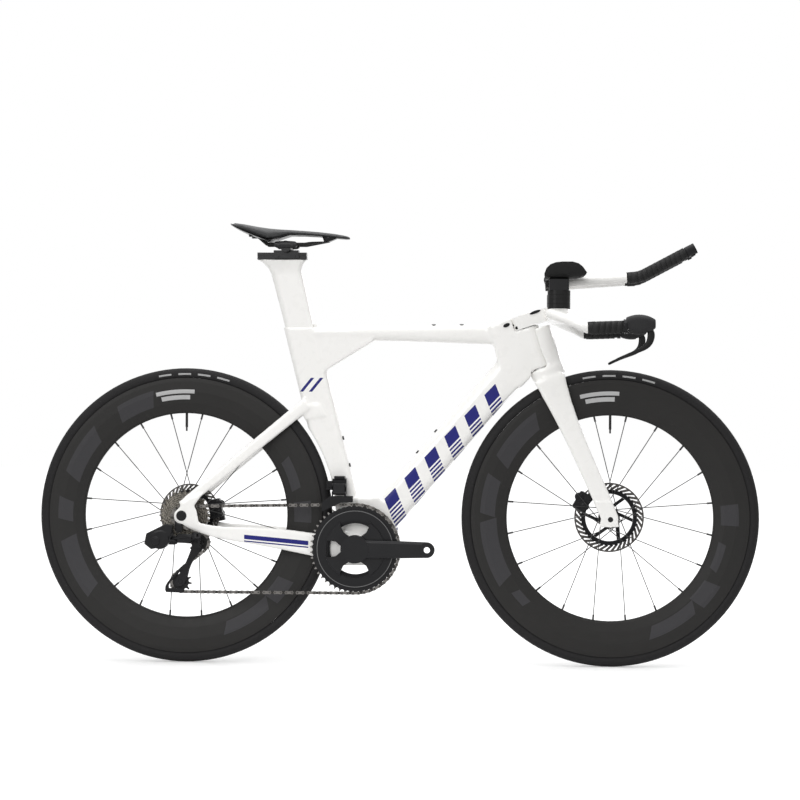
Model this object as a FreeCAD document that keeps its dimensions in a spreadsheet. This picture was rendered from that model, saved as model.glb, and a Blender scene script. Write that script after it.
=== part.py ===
import FreeCAD, Part
import math
import os
import re
import Sketcher
from FreeCAD import Placement, Rotation, Vector

# A time trial bike. X points forward, Y to the rider's left, Z up, and the origin is on the ground midway
# between the axles. Each group of sizes stands beside the pieces that it drives.
doc = FreeCAD.newDocument("time_trial_bike")
sheet = doc.addObject("Spreadsheet::Sheet", "Sizes")
aliases = []
nodes = {}
across = Vector(0, 1, 0)
upward = Vector(0, 0, 1)
forward = Vector(1, 0, 0)
sides = {"left": 1, "right": -1}


class Named:
    def __getattr__(self, name):
        return float(sheet.get(name))


size = Named()


def sizes(**named):
    for name, amount in named.items():
        aliases.append(name)
        row = len(aliases)
        sheet.set(f"A{row}", name)
        sheet.set(f"B{row}", str(amount))
        sheet.setAlias(f"B{row}", name)
    sheet.recompute()


def bound(text):
    def to_cell(word):
        return "Sizes." + word.group() if word.group() in aliases else word.group()
    return re.sub(r"[a-z]\w*", to_cell, text)


def number(text):
    return float(sheet.evalExpression(text))


def node(label, thing):
    thing.Label = label
    nodes[label] = thing
    return thing


def place_by(thing, place):
    for axis, text in zip("xyz", place):
        thing.setExpression(f"Placement.Base.{axis}", bound(text))


# Sketched pieces
def outline(body, plane, points, name):
    sketch = body.newObject("Sketcher::SketchObject", name)
    support = next(item for item in body.Origin.OriginFeatures if item.Role == plane)
    sketch.AttachmentSupport = (support, [""])
    sketch.MapMode = "FlatFace"
    places = [Vector(number(x), number(y), 0) for x, y in points]
    for index, start in enumerate(places):
        sketch.addGeometry(Part.LineSegment(start, places[(index + 1) % len(places)]))
    for index in range(len(places)):
        sketch.addConstraint(Sketcher.Constraint("Coincident", index, 2, (index + 1) % len(places), 1))
    for index, pair in enumerate(points):
        for kind, text in zip(("DistanceX", "DistanceY"), pair):
            row = sketch.addConstraint(Sketcher.Constraint(kind, -1, 1, index, 1, number(text)))
            sketch.setExpression(f"Constraints[{row}]", bound(text))
    return sketch


def ring_sketch(body, plane, radii, name, middle=("0", "0")):
    sketch = body.newObject("Sketcher::SketchObject", name)
    support = next(item for item in body.Origin.OriginFeatures if item.Role == plane)
    sketch.AttachmentSupport = (support, [""])
    sketch.MapMode = "FlatFace"
    spot = Vector(number(middle[0]), number(middle[1]), 0)
    for index, text in enumerate(radii):
        sketch.addGeometry(Part.Circle(spot, Vector(0, 0, 1), number(text)))
        row = sketch.addConstraint(Sketcher.Constraint("Radius", index, number(text)))
        sketch.setExpression(f"Constraints[{row}]", bound(text))
        for kind, place in zip(("DistanceX", "DistanceY"), middle):
            row = sketch.addConstraint(Sketcher.Constraint(kind, -1, 1, index, 3, number(place)))
            sketch.setExpression(f"Constraints[{row}]", bound(place))
    return sketch


def turned(name, points, place=("0", "0", "0")):
    body = doc.addObject("PartDesign::Body", name)
    sketch = outline(body, "XY_Plane", points, name + "_outline")
    turn = body.newObject("PartDesign::Revolution", name + "_turn")
    turn.Profile = sketch
    turn.ReferenceAxis = (sketch, ["V_Axis"])
    turn.Angle = 360
    place_by(body, place)
    return body


def pad_on(body, sketch, thickness, name):
    pad = body.newObject("PartDesign::Pad", name)
    pad.Profile = sketch
    pad.Midplane = True
    pad.setExpression("Length", bound(thickness))
    return pad


def pocket_in(body, sketch, thickness, name):
    pocket = body.newObject("PartDesign::Pocket", name)
    pocket.Profile = sketch
    pocket.Midplane = True
    pocket.setExpression("Length", bound(thickness))
    return pocket


def around(body, feature, sketch, count, name):
    pattern = body.newObject("PartDesign::PolarPattern", name)
    pattern.Originals = [feature]
    pattern.Axis = (sketch, ["N_Axis"])
    pattern.Angle = 360
    pattern.setExpression("Occurrences", bound(count))
    body.Tip = pattern
    return pattern


# Plain solids and joins of solids
along_y = Rotation(Vector(1, 0, 0), -90)


def rod(name, radius, length, place=("0", "0", "0"), turn=along_y):
    thing = doc.addObject("Part::Cylinder", name)
    thing.setExpression("Radius", bound(radius))
    thing.setExpression("Height", bound(length))
    thing.Placement = Placement(Vector(), turn)
    place_by(thing, place)
    return thing


def joined(name, *things):
    thing = doc.addObject("Part::MultiFuse", name)
    thing.Shapes = list(things)
    return thing


def less(name, base, *tools):
    thing = doc.addObject("Part::Cut", name)
    thing.Base = base
    thing.Tool = tools[0] if len(tools) == 1 else joined(name + "_tools", *tools)
    return thing


def made(name, shape):
    thing = doc.addObject("Part::Feature", name)
    thing.Shape = shape
    return thing


def group(name, *things):
    thing = doc.addObject("Part::Compound", name)
    thing.Links = list(things)
    return thing


def stadium(middle, chord, thickness_way, length, thickness):
    chord = Vector(chord).normalize()
    thickness_way = Vector(thickness_way).normalize()
    half = thickness / 2
    reach = length / 2 - half
    ends = []
    for way in (1, -1):
        centre = middle + chord * (reach * way)
        ends.append([centre + thickness_way * (half * way), centre + chord * (half * way),
                     centre - thickness_way * (half * way)])
    first, second = ends
    return Part.Wire([Part.Arc(*first).toShape(), Part.makeLine(first[2], second[0]),
                      Part.Arc(*second).toShape(), Part.makeLine(second[2], first[0])])


def loft(wires, ruled=False):
    return Part.makeLoft(wires, True, ruled)


def prism(points, width, middle=0):
    wire = Part.makePolygon([Vector(x, middle - width / 2, z) for x, z in points + points[:1]])
    return Part.Face(wire).extrude(across * width)


def mirrored(shape):
    return shape.mirror(Vector(), across)


def between(start, end, share):
    return start + (end - start) * share


def cylinder(radius, start, end):
    return Part.makeCylinder(radius, (end - start).Length, start, end - start)


# Overall layout
sizes(tyre_radius=339, chainstay_room=63, front_room=240.5, bracket_drop=72, head_angle=72, fork_rake=44,
      seat_angle=76, rear_hub_width=142, front_hub_width=100, axle_radius=6, run_gap=0.1, seat_gap=0.3,
      overrun=20)
bracket_reach = "sqrt((tyre_radius + chainstay_room) ^ 2 - bracket_drop ^ 2)"
wheelbase = f"({bracket_reach} + tyre_radius + front_room)"
rear_x = f"-{wheelbase} / 2"
front_x = f"{wheelbase} / 2"
axle_z = "tyre_radius"
bracket_x = f"{rear_x} + {bracket_reach}"
bracket_z = "tyre_radius - bracket_drop"
rear_axle = Vector(number(rear_x), 0, number(axle_z))
front_axle = Vector(number(front_x), 0, number(axle_z))
bracket = Vector(number(bracket_x), 0, number(bracket_z))
rear_place = (rear_x, "0", axle_z)
front_place = (front_x, "0", axle_z)
bracket_place = (bracket_x, "0", bracket_z)

# Steering frame: its X runs forward square to the steering axis, its Z up that axis
steer_turn = Rotation(across, size.head_angle - 90)
steer_place = Placement(front_axle - steer_turn.multVec(forward) * size.fork_rake, steer_turn)


def steered(shape):
    return shape.transformed(steer_place.toMatrix())


def steer_rod(radius, low, high):
    return steered(Part.makeCylinder(radius, high - low, Vector(0, 0, low)))


# Wheels: tyre, deep rim, spokes, hub and brake rotor
sizes(tyre_section=14, tyre_wall=2.5, tyre_seat=22.5, rim_depth=81.5, rim_well=8.5, rim_half=15,
      rim_nose_half=3.5,
      rim_hook=4, spoke_count=20, spoke_radius=1.0, nipple_radius=2.2, nipple_length=12, spoke_lace_angle=62,
      spoke_weave=1.3, valve_radius=3, valve_length=32, valve_head_radius=2, valve_head_length=9)
tyre_mid = "tyre_radius - tyre_section"
rim_outer = "(tyre_radius - tyre_seat)"
rim_inner = f"({rim_outer} - rim_depth)"
rim_bed = f"({rim_outer} - rim_well)"
rim_swell_shares = ((0.06, 0.45), (0.3, 0.78), (0.62, 1), (0.9, 1))


def tyre(name, place):
    outer = doc.addObject("Part::Torus", name + "_outside")
    inner = doc.addObject("Part::Torus", name + "_inside")
    for ring, radius in ((outer, "tyre_section"), (inner, "tyre_section - tyre_wall")):
        ring.setExpression("Radius1", bound(tyre_mid))
        ring.setExpression("Radius2", bound(radius))
        ring.Placement = Placement(Vector(), along_y)
        place_by(ring, place)
    plug = rod(name + "_plug", rim_outer + " + run_gap", "4 * tyre_section",
               (place[0], "-2 * tyre_section", place[2]))
    return node(name, less(name, outer, inner, plug))


def rim(name, place):
    half = [(rim_inner, "rim_nose_half")]
    half += [(f"{rim_inner} + rim_depth * {rise}", f"rim_half * {wide}") for rise, wide in rim_swell_shares]
    half += [(rim_outer, "rim_half - rim_hook / 5"), (rim_outer, "rim_half - rim_hook"),
             (rim_bed, "rim_half - rim_hook")]
    other = [(radius, f"-({away})") for radius, away in reversed(half)]
    shell = turned(name + "_shell", half + other, place)
    hole = rod(name + "_valve_hole", "valve_radius + run_gap", "rim_depth + 2 * overrun",
               (place[0], "0", f"tyre_radius + {rim_inner} - overrun"), Rotation())
    drilled = less(name + "_drilled", shell, hole)
    return node(name, group(name, drilled, valve(name + "_valve", place)))


def valve(name, place):
    low = f"tyre_radius + {rim_inner} - valve_length"
    stem = rod(name + "_stem", "valve_radius", "valve_length + rim_depth - rim_well",
               (place[0], "0", low), Rotation())
    head = rod(name + "_head", "valve_head_radius", "valve_head_length",
               (place[0], "0", low + " - valve_head_length"), Rotation())
    return joined(name, stem, head)


def spokes(name, axle, flanges, flange_radius):
    count = int(size.spoke_count)
    solids = []
    for index in range(count):
        way = 1 if index % 2 else -1
        lean = 1 if (index // 2) % 2 else -1
        rim_angle = 2 * math.pi * (index + 0.5) / count
        hub_angle = rim_angle + lean * math.radians(size.spoke_lace_angle)
        flange = flanges[way] + lean * size.spoke_weave
        start = axle + Vector(math.sin(hub_angle) * flange_radius, flange,
                              math.cos(hub_angle) * flange_radius)
        end = axle + Vector(math.sin(rim_angle), 0, math.cos(rim_angle)) * number(rim_inner)
        pull = (end - start).normalize()
        nipple = cylinder(size.nipple_radius, end - pull * size.nipple_length, end)
        solids.append(cylinder(size.spoke_radius, start, end).fuse(nipple).removeSplitter().Solids[0])
    return node(name, made(name, Part.Compound(solids)))


sizes(rotor_thickness=1.8, rotor_band=14, rotor_arms=6, rotor_arm_width=9, rotor_slots=24,
      rotor_slot_radius=2.4,
      rotor_seat=17, rotor_ring=6, front_rotor_radius=80, rear_rotor_radius=70, front_rotor_inset=10.3,
      rear_rotor_inset=15.3)


def rotor(name, radius, place):
    body = doc.addObject("PartDesign::Body", name)
    band = ring_sketch(body, "XZ_Plane", (radius, radius + " - rotor_band"), name + "_band")
    pad_on(body, band, "rotor_thickness", name + "_band_pad")
    seat = ring_sketch(body, "XZ_Plane", ("rotor_seat + run_gap", "rotor_seat + rotor_ring"), name + "_seat")
    reach = [("-rotor_arm_width / 2", "rotor_seat + rotor_ring / 2"),
             ("rotor_arm_width / 2", "rotor_seat + rotor_ring / 2"),
             ("rotor_arm_width", radius + " - rotor_band / 2"), ("0", radius + " - rotor_band / 2")]
    arm_sketch = outline(body, "XZ_Plane", reach, name + "_arm")
    arm = pad_on(body, arm_sketch, "rotor_thickness", name + "_arm_pad")
    around(body, arm, arm_sketch, "rotor_arms", name + "_arms")
    pad_on(body, seat, "rotor_thickness", name + "_seat_pad")
    slot_sketch = ring_sketch(body, "XZ_Plane", ("rotor_slot_radius",), name + "_slot",
                              ("0", radius + " - rotor_band / 2"))
    slot = pocket_in(body, slot_sketch, "2 * rotor_thickness", name + "_slot_cut")
    around(body, slot, slot_sketch, "rotor_slots", name + "_slots")
    place_by(body, place)
    return node(name, body)


sizes(hub_wall=3, freehub_wall=2, hub_neck=10.5, hub_flange=22, hub_flange_lip=3, hub_shoulder=13,
      front_flange_right=36, front_flange_left=24, rear_flange_right=16.5, rear_flange_left=32)
hub_bore = "axle_radius + run_gap"
hub_end = "axle_radius + hub_wall"
freehub_seat = "axle_radius + freehub_wall"
front_rotor_y = "front_hub_width / 2 - front_rotor_inset"
rear_rotor_y = "rear_hub_width / 2 - rear_rotor_inset"
front_end = "front_hub_width / 2"
rear_end = "rear_hub_width / 2"


def flange_points(where):
    return [("hub_shoulder", f"{where} - 3 * hub_flange_lip"), ("hub_flange", f"{where} - hub_flange_lip"),
            ("hub_flange", f"{where} + hub_flange_lip"), ("hub_shoulder", f"{where} + 3 * hub_flange_lip")]


node("front_hub", turned("front_hub", [
    (hub_bore, "-" + front_end), (hub_end, "-" + front_end), (hub_end,
                                                              "-front_flange_right - 3 * hub_flange_lip"),
    *flange_points("-front_flange_right"), ("hub_neck", "0"), *flange_points("front_flange_left")[:3],
    ("rotor_seat", "front_flange_left + hub_flange_lip"),
    ("rotor_seat", front_rotor_y + " + rotor_thickness"), (hub_end, front_rotor_y + " + 2 * rotor_thickness"),
    (hub_end, front_end), (hub_bore, front_end)], front_place))
node("rear_hub", turned("rear_hub", [
    (hub_bore, "-" + rear_end), (freehub_seat, "-" + rear_end),
    (freehub_seat, "-rear_flange_right - hub_flange_lip"),
    ("hub_flange", "-rear_flange_right - hub_flange_lip"), ("hub_flange",
                                                            "-rear_flange_right + hub_flange_lip"),
    ("hub_shoulder", "-rear_flange_right + 3 * hub_flange_lip"), ("hub_neck", "rear_flange_left / 4"),
    *flange_points("rear_flange_left")[:3], ("rotor_seat", "rear_flange_left + hub_flange_lip"),
    ("rotor_seat", rear_rotor_y + " + rotor_thickness"), (hub_end, rear_rotor_y + " + 2 * rotor_thickness"),
    (hub_end, rear_end), (hub_bore, rear_end)], rear_place))
for end, place, axle in (("front", front_place, front_axle), ("rear", rear_place, rear_axle)):
    tyre(end + "_tyre", place)
    rim(end + "_rim", place)
    spokes(end + "_spokes", axle, {1: number(end + "_flange_left"), -1: -number(end + "_flange_right")},
           size.hub_flange + size.spoke_radius)
rotor("front_rotor", "front_rotor_radius", (front_x, front_rotor_y, axle_z))
rotor("rear_rotor", "rear_rotor_radius", (rear_x, rear_rotor_y, axle_z))

# Frame: front triangle with head tube, down tube, seat tube, top tube and bracket shell
sizes(seat_tube_setback=8, seat_tube_wall=3.5, seat_tube_width=30, seat_tube_foot=31, seat_tube_short=2,
      seat_gusset_fall=104, seat_gusset_reach=112, seat_gusset_width=26, wheel_cut_gap=8.5, post_depth=66,
      top_tube_above=6.2, top_tube_fall=5, top_tube_rear_depth=33, top_tube_front_depth=52, top_tube_width=29,
      down_tube_raise=12, down_tube_depth=76, down_tube_width=44,
      crown_room=35, head_length=98.5, head_radius=23.5, head_hump=32, head_block_reach=84,
      head_block_width=43,
      crown_sweep_radius=32, stem_sweep_radius=38, steerer_radius=14.3, headset_wall=4.7, headset_height=8,
      bracket_shell_radius=28, bracket_shell_width=86.5, bracket_cup_wall=8.5, spindle_radius=12,
      bracket_fill_top=117, bracket_fill_low=40, bracket_fill_rear=52, bracket_fill_front=97)
seat_up = Vector(-math.cos(math.radians(size.seat_angle)), 0, math.sin(math.radians(size.seat_angle)))
seat_fore = Vector(seat_up.z, 0, -seat_up.x)
seat_foot = bracket - forward * size.seat_tube_setback
seat_tube_depth = size.post_depth + 2 * size.seat_tube_wall
head_low = size.tyre_radius + size.crown_room
head_top = head_low + size.head_length
head_middle = steer_place.multVec(upward * (head_low + size.head_length / 2))
top_front = Vector(head_middle.x, 0, steer_place.multVec(upward * head_top).z + size.top_tube_above)
top_height = top_front.z - size.top_tube_fall
seat_tube_top = top_height - size.seat_tube_short
bracket_bore = size.spindle_radius + size.bracket_cup_wall
headset_radius = size.steerer_radius + size.headset_wall


def on_seat_line(height):
    return seat_foot + seat_up * ((height - seat_foot.z) / seat_up.z)


def seat_section(height, depth, width):
    return stadium(on_seat_line(height), forward, across, depth / seat_up.z, width)


seat_tube = loft([seat_section(height, seat_tube_depth, size.seat_tube_width)
                  for height in (bracket.z - size.seat_tube_foot, seat_tube_top)])
top_rear = on_seat_line(top_height)


def top_section(share):
    depth = between(size.top_tube_rear_depth, size.top_tube_front_depth, share ** 2)
    middle = between(top_rear, top_front, share) - upward * (depth / 2)
    return stadium(middle, upward, across, depth, size.top_tube_width)


top_tube_shares = (0, 0.4, 0.7, 1)
top_tube = loft([top_section(share) for share in top_tube_shares])
down_end = head_middle + upward * size.down_tube_raise
down_way = (down_end - bracket).normalize()
down_chord = Vector(-down_way.z, 0, down_way.x)
down_tube = loft([stadium(spot, down_chord, across, size.down_tube_depth, size.down_tube_width)
                  for spot in (bracket, down_end)])
gusset_low = top_height - size.seat_gusset_fall
gusset_top = top_height - size.top_tube_rear_depth / 2
seat_front_x = on_seat_line(gusset_low).x + seat_tube_depth / seat_up.z / 2
gusset_shares = ((-0.3, 0), (0, 0), (0.26, 0.38), (0.67, 0.76), (1, 1), (-0.6, 1))
gusset = prism([(seat_front_x + size.seat_gusset_reach * reach,
                 between(gusset_low, gusset_top, rise)) for reach, rise in gusset_shares],
               size.seat_gusset_width)
bracket_fill = prism([(bracket.x + size.bracket_fill_rear, bracket.z + size.bracket_fill_top),
                      (bracket.x, bracket.z + size.bracket_fill_top),
                      (bracket.x - size.bracket_fill_rear, bracket.z),
                      (bracket.x - size.bracket_fill_low, bracket.z - size.bracket_fill_low),
                      (bracket.x + size.bracket_fill_low / 2, bracket.z - size.bracket_fill_low),
                      (bracket.x + size.bracket_fill_front, bracket.z + size.bracket_fill_low)],
                     size.down_tube_width - 2 * size.run_gap)
bracket_shell = cylinder(size.bracket_shell_radius, bracket - across * (size.bracket_shell_width / 2),
                         bracket + across * (size.bracket_shell_width / 2))
head_block_shares = ((-1, 1), (0, 1), (0, 0), (-0.3, -0.08), (-0.72, -0.22), (-1.1, 0.2))
hump_height = size.head_length + size.head_hump
head_block = steered(prism([(size.head_block_reach * reach, head_low + hump_height * rise)
                            for reach, rise in head_block_shares], size.head_block_width))
head_tube = steer_rod(size.head_radius, head_low, head_top)
wheel_cut = cylinder(size.tyre_radius + size.wheel_cut_gap, rear_axle - across * size.bracket_shell_width,
                     rear_axle + across * size.bracket_shell_width)
stem_room = steer_rod(size.stem_sweep_radius, head_top, head_top + size.head_hump + size.overrun)
crown_room = steer_rod(size.crown_sweep_radius, head_low - size.head_length, head_low)
steerer_bore = steer_rod(size.steerer_radius + 2 * size.seat_gap, head_low - size.overrun,
                         head_top + size.overrun)
headset_rooms = [steer_rod(headset_radius, head_low, head_low + size.headset_height),
                 steer_rod(headset_radius, head_top - size.headset_height, head_top)]
bracket_hole = cylinder(bracket_bore, bracket - across * size.bracket_shell_width,
                        bracket + across * size.bracket_shell_width)

# Seatpost: an aero mast that slides in the seat tube and carries a fore and aft rail
sizes(post_width=24, post_insert=168, post_travel=36, post_neck_rise=116, post_head_rise=155,
      post_head_length=114,
      post_head_shift=2, post_neck_extra=4, post_head_width=30, rail_height=16, rail_width=22, rail_foot=3,
      wedge_height=26, wedge_depth=7)
post_low = seat_tube_top - size.post_insert
post_neck = seat_tube_top + size.post_neck_rise
post_head = seat_tube_top + size.post_head_rise
post_neck_depth = size.post_depth + size.post_neck_extra
post_room = loft([seat_section(height, size.post_depth + 2 * size.run_gap, size.post_width + 2 * size.run_gap)
                  for height in (post_low - size.overrun * 2, seat_tube_top + size.overrun)])
wedge_mid = on_seat_line(seat_tube_top - size.wedge_height) + seat_fore * (size.post_depth / 2)
wedge_box = Part.makeBox(size.wedge_depth, size.post_width / 2, size.wedge_height,
                         Vector(-size.wedge_depth / 2, -size.post_width / 4, 0))
wedge_place = Placement(wedge_mid + seat_fore * (size.wedge_depth / 2 + size.run_gap),
                        Rotation(across, size.seat_angle - 90))
wedge_box = wedge_box.transformed(wedge_place.toMatrix())

# Bottle and box bolts sit in drilled holes on the tubes
sizes(boss_spacing=64, boss_bolt_radius=2.5, boss_bolt_length=9, boss_head_radius=4.6, boss_head_height=2.6,
      seat_boss_rise=243, down_boss_distance=258, top_boss_back=232)


def boss_bolts():
    seat_face = seat_tube_depth / 2
    down_face = size.down_tube_depth / 2
    places = []
    for step in (0, 1):
        seat_spot = on_seat_line(bracket.z + size.seat_boss_rise) - seat_up * (size.boss_spacing * step)
        places.append((seat_spot + seat_fore * seat_face, seat_fore))
        down_spot = bracket + down_way * (size.down_boss_distance + size.boss_spacing * step)
        places.append((down_spot + down_chord * down_face, down_chord))
        top_way = (top_rear - top_front).normalize()
        places.append((top_front + top_way * (size.top_boss_back - size.boss_spacing * step), upward))
    return places


bolt_holes = [cylinder(size.boss_bolt_radius + size.run_gap, spot - way * size.boss_bolt_length * 2,
                       spot + way * size.overrun) for spot, way in boss_bolts()]
head_front = steered(Part.makeBox(head_top, head_top, 2 * head_top, Vector(0, -head_top / 2, 0)))
frame_shape = seat_tube
for tube in (top_tube.cut(head_front), down_tube.cut(head_front), gusset, bracket_fill, bracket_shell,
             head_block,
             head_tube):
    frame_shape = frame_shape.fuse(tube)
for room in (wheel_cut, stem_room, crown_room, steerer_bore, *headset_rooms, bracket_hole, post_room,
             wedge_box,
             *bolt_holes):
    frame_shape = frame_shape.cut(room)
frame_shape = frame_shape.removeSplitter().Solids[0]
node("front_triangle", made("front_triangle", frame_shape))
bolts = []
for spot, way in boss_bolts():
    shank = cylinder(size.boss_bolt_radius, spot - way * size.boss_bolt_length, spot)
    bolts.append(shank.fuse(cylinder(size.boss_head_radius, spot,
                                     spot + way * size.boss_head_height)).Solids[0])

# Stays: each side is one chainstay with its dropout, and one seatstay
sizes(dropout_thickness=8, dropout_radius=17, axle_hole_gap=0.05, chainstay_dip=20, chainstay_root_y=27,
      chainstay_tip_thickness=8, chainstay_root_thickness=17, chainstay_root_depth=60, chainstay_tip_depth=25,
      seatstay_low_depth=23, seatstay_top_depth=30, seatstay_low_thickness=9, seatstay_top_thickness=14,
      seatstay_drop=8, seatstay_setback=24.5, seatstay_lift=24, seatstay_top_y=14)
dropout_inner = size.rear_hub_width / 2 + size.run_gap
dropout_y = dropout_inner + size.dropout_thickness / 2
chainstay_shares = (0.03, 0.26, 0.6, 0.86, 1)
chainstay_dip_shares = (0, 0.5, 0.75, 0.95, 0.2)
chainstay_depth_shares = (0, 0.2, 0.6, 1, 1)
chainstay_side_shares = (0, 0.07, 0.52, 0.97, 1)


def chainstay():
    wires = []
    tip = rear_axle + across * dropout_y
    root = bracket + across * size.chainstay_root_y
    rows = zip(chainstay_shares, chainstay_dip_shares, chainstay_depth_shares, chainstay_side_shares)
    for share, dip, narrow, side in rows:
        middle = between(root, tip, share) - upward * (size.chainstay_dip * dip)
        middle.y = between(root.y, tip.y, side)
        depth = between(size.chainstay_root_depth, size.chainstay_tip_depth, narrow)
        thickness = between(size.chainstay_root_thickness, size.chainstay_tip_thickness, side)
        wires.append(stadium(middle, upward, across, depth, thickness))
    return loft(wires)


def dropout_disc(radius, start, thickness):
    return cylinder(radius, rear_axle + across * start, rear_axle + across * (start + thickness))


def seatstay():
    start = rear_axle + upward * size.seatstay_lift + across * dropout_y
    end = on_seat_line(bracket.z + size.tyre_radius - size.seatstay_drop) - forward * size.seatstay_setback
    end += across * size.seatstay_top_y
    chord = across.cross(start - end)
    wires = []
    for share in (0, 0.5, 1):
        middle = between(start, end, share)
        wires.append(stadium(middle, chord, across,
                             between(size.seatstay_low_depth, size.seatstay_top_depth, share),
                             between(size.seatstay_low_thickness, size.seatstay_top_thickness, share)))
    return loft(wires)


axle_hole = dropout_disc(size.axle_radius + size.axle_hole_gap, -size.rear_hub_width, 2 * size.rear_hub_width)
drop_end = dropout_disc(size.dropout_radius, dropout_inner, size.dropout_thickness)
left_chainstay = chainstay().fuse(drop_end).cut(frame_shape).cut(axle_hole).removeSplitter()
left_chainstay = max(left_chainstay.Solids, key=lambda solid: solid.Volume)
left_seatstay = seatstay().cut(frame_shape).cut(left_chainstay).cut(mirrored(left_chainstay)).cut(axle_hole)
left_seatstay = max(left_seatstay.cut(drop_end).Solids, key=lambda solid: solid.Volume)
stay_middle = Part.makeBox(4 * size.tyre_radius, 4 * size.tyre_radius, 2 * size.tyre_radius,
                           Vector(-4 * size.tyre_radius, 0, 0))
left_seatstay = left_seatstay.common(stay_middle).Solids[0]
node("chainstays", made("chainstays", Part.Compound([left_chainstay, mirrored(left_chainstay)])))
node("seatstays", made("seatstays", Part.Compound([left_seatstay, mirrored(left_seatstay)])))

# Bearings and axles in the frame
sizes(bracket_cup_width=9, bracket_lip=2.6, bracket_lip_step=2.5, axle_head_step=2, axle_head_length=4)
cup_out = "bracket_shell_width / 2"
cup_outer = "spindle_radius + bracket_cup_wall"
lip_outer = cup_outer + " + bracket_lip_step"
bearings = []
for side, way in sides.items():
    cup = [("spindle_radius + run_gap / 2", f"{way} * ({cup_out} - bracket_cup_width)"),
           (cup_outer, f"{way} * ({cup_out} - bracket_cup_width)"), (cup_outer, f"{way} * {cup_out}"),
           (lip_outer, f"{way} * {cup_out}"), (lip_outer, f"{way} * ({cup_out} + bracket_lip)"),
           ("spindle_radius + run_gap / 2", f"{way} * ({cup_out} + bracket_lip)")]
    bearings.append(turned(side + "_bracket_bearing", cup, bracket_place))
headset_rings = []
for low in (head_low, head_top - size.headset_height):
    ring = steer_rod(headset_radius, low, low + size.headset_height)
    headset_rings.append(ring.cut(steer_rod(size.steerer_radius + size.run_gap / 2, low - size.overrun,
                                            head_top + size.overrun)))
for ring in headset_rings:
    bearings.append(made("headset_bearing", ring.Solids[0]))
node("frame_bearings", group("frame_bearings", *bearings))


def through_axle(name, reach, place):
    shaft = rod(name + "_shaft", "axle_radius", f"2 * ({reach})", (place[0], f"-({reach})", place[2]))
    head = rod(name + "_head", "axle_radius + axle_head_step", "axle_head_length",
               (place[0], reach, place[2]))
    return joined(name, shaft, head)


rear_through_axle = through_axle("rear_axle", rear_end + " + run_gap + dropout_thickness", rear_place)
small_parts = [made("frame_bolt", bolt.cut(frame_shape).Solids[0]) for bolt in bolts]
small_parts.append(made("seatpost_wedge", wedge_box))
node("frame_hardware", group("frame_hardware", rear_through_axle, *small_parts))

# Seatpost, saddle rail, clamp and saddle
head_middle_x = on_seat_line(post_head).x - size.post_head_shift
plain_top = seat_tube_top + size.post_travel
post = loft([seat_section(height, size.post_depth, size.post_width) for height in (post_low, plain_top)])
neck = loft([seat_section(plain_top, size.post_depth, size.post_width),
             seat_section(post_neck, post_neck_depth, size.post_width)])
post_head_shares = ((0, 0), (0.55, 0.2), (1, 1))
flare = loft([stadium(Vector(between(on_seat_line(post_neck).x, head_middle_x, rise), 0,
                             between(post_neck, post_head, rise)), forward, across,
                      between(post_neck_depth / seat_up.z, size.post_head_length, swell),
                      between(size.post_width, size.post_head_width, swell))
              for rise, swell in post_head_shares])
post_rear = head_middle_x - size.post_head_length / 2
node("seatpost", made("seatpost", post.fuse(neck).fuse(flare).removeSplitter().Solids[0]))
rail = Part.makeBox(size.post_head_length, size.rail_width, size.rail_height,
                    Vector(post_rear, -size.rail_width / 2, post_head))
for way in sides.values():
    groove = Part.makeBox(size.post_head_length + 2 * size.overrun, size.rail_foot, size.rail_foot * 2,
                          Vector(post_rear - size.overrun,
                                 way * size.rail_width / 2 - size.rail_foot / 2,
                                 post_head + size.rail_foot))
    rail = rail.cut(groove)
node("saddle_rail", made("saddle_rail", rail.Solids[0]))

# Saddle clamp: a carriage that grips the rail, and a cradle above that tilts on the carriage
sizes(carriage_length=58, carriage_wall=4, clamp_ahead=10, carriage_top=5, cradle_radius=13, cradle_reach=44,
      cradle_ear=7, tilt_height=15, rail_bar_y=22, clamp_bolt_radius=3)
clamp_x = head_middle_x + size.clamp_ahead
rail_top = post_head + size.rail_height
carriage_half = size.rail_width / 2 + size.carriage_wall
carriage = Part.makeBox(size.carriage_length, 2 * carriage_half,
                        size.rail_height - size.rail_foot + size.carriage_top,
                        Vector(clamp_x - size.carriage_length / 2, -carriage_half,
                               post_head + size.rail_foot))
rail_room = Part.makeBox(size.carriage_length + 2 * size.overrun, size.rail_width + 2 * size.seat_gap,
                         size.rail_height + size.seat_gap,
                         Vector(clamp_x - size.carriage_length / 2 - size.overrun,
                                -size.rail_width / 2 - size.seat_gap, post_head))
tilt_centre = Vector(clamp_x, 0, rail_top + size.carriage_top + size.tilt_height - size.cradle_radius / 2)
tilt_room = cylinder(size.cradle_radius + size.seat_gap, tilt_centre - across * size.rail_bar_y * 2,
                     tilt_centre + across * size.rail_bar_y * 2)
carriage = carriage.cut(rail_room).cut(tilt_room)
carriage = max(carriage.Solids, key=lambda solid: solid.Volume)


def bent_rod(points, radius):
    shape = cylinder(radius, points[0], points[1])
    for start, end in zip(points[1:], points[2:]):
        shape = shape.fuse(Part.makeSphere(radius, start)).fuse(cylinder(radius, start, end))
    return shape.removeSplitter()


def biggest(shape):
    return max(shape.Solids, key=lambda solid: solid.Volume)


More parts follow.
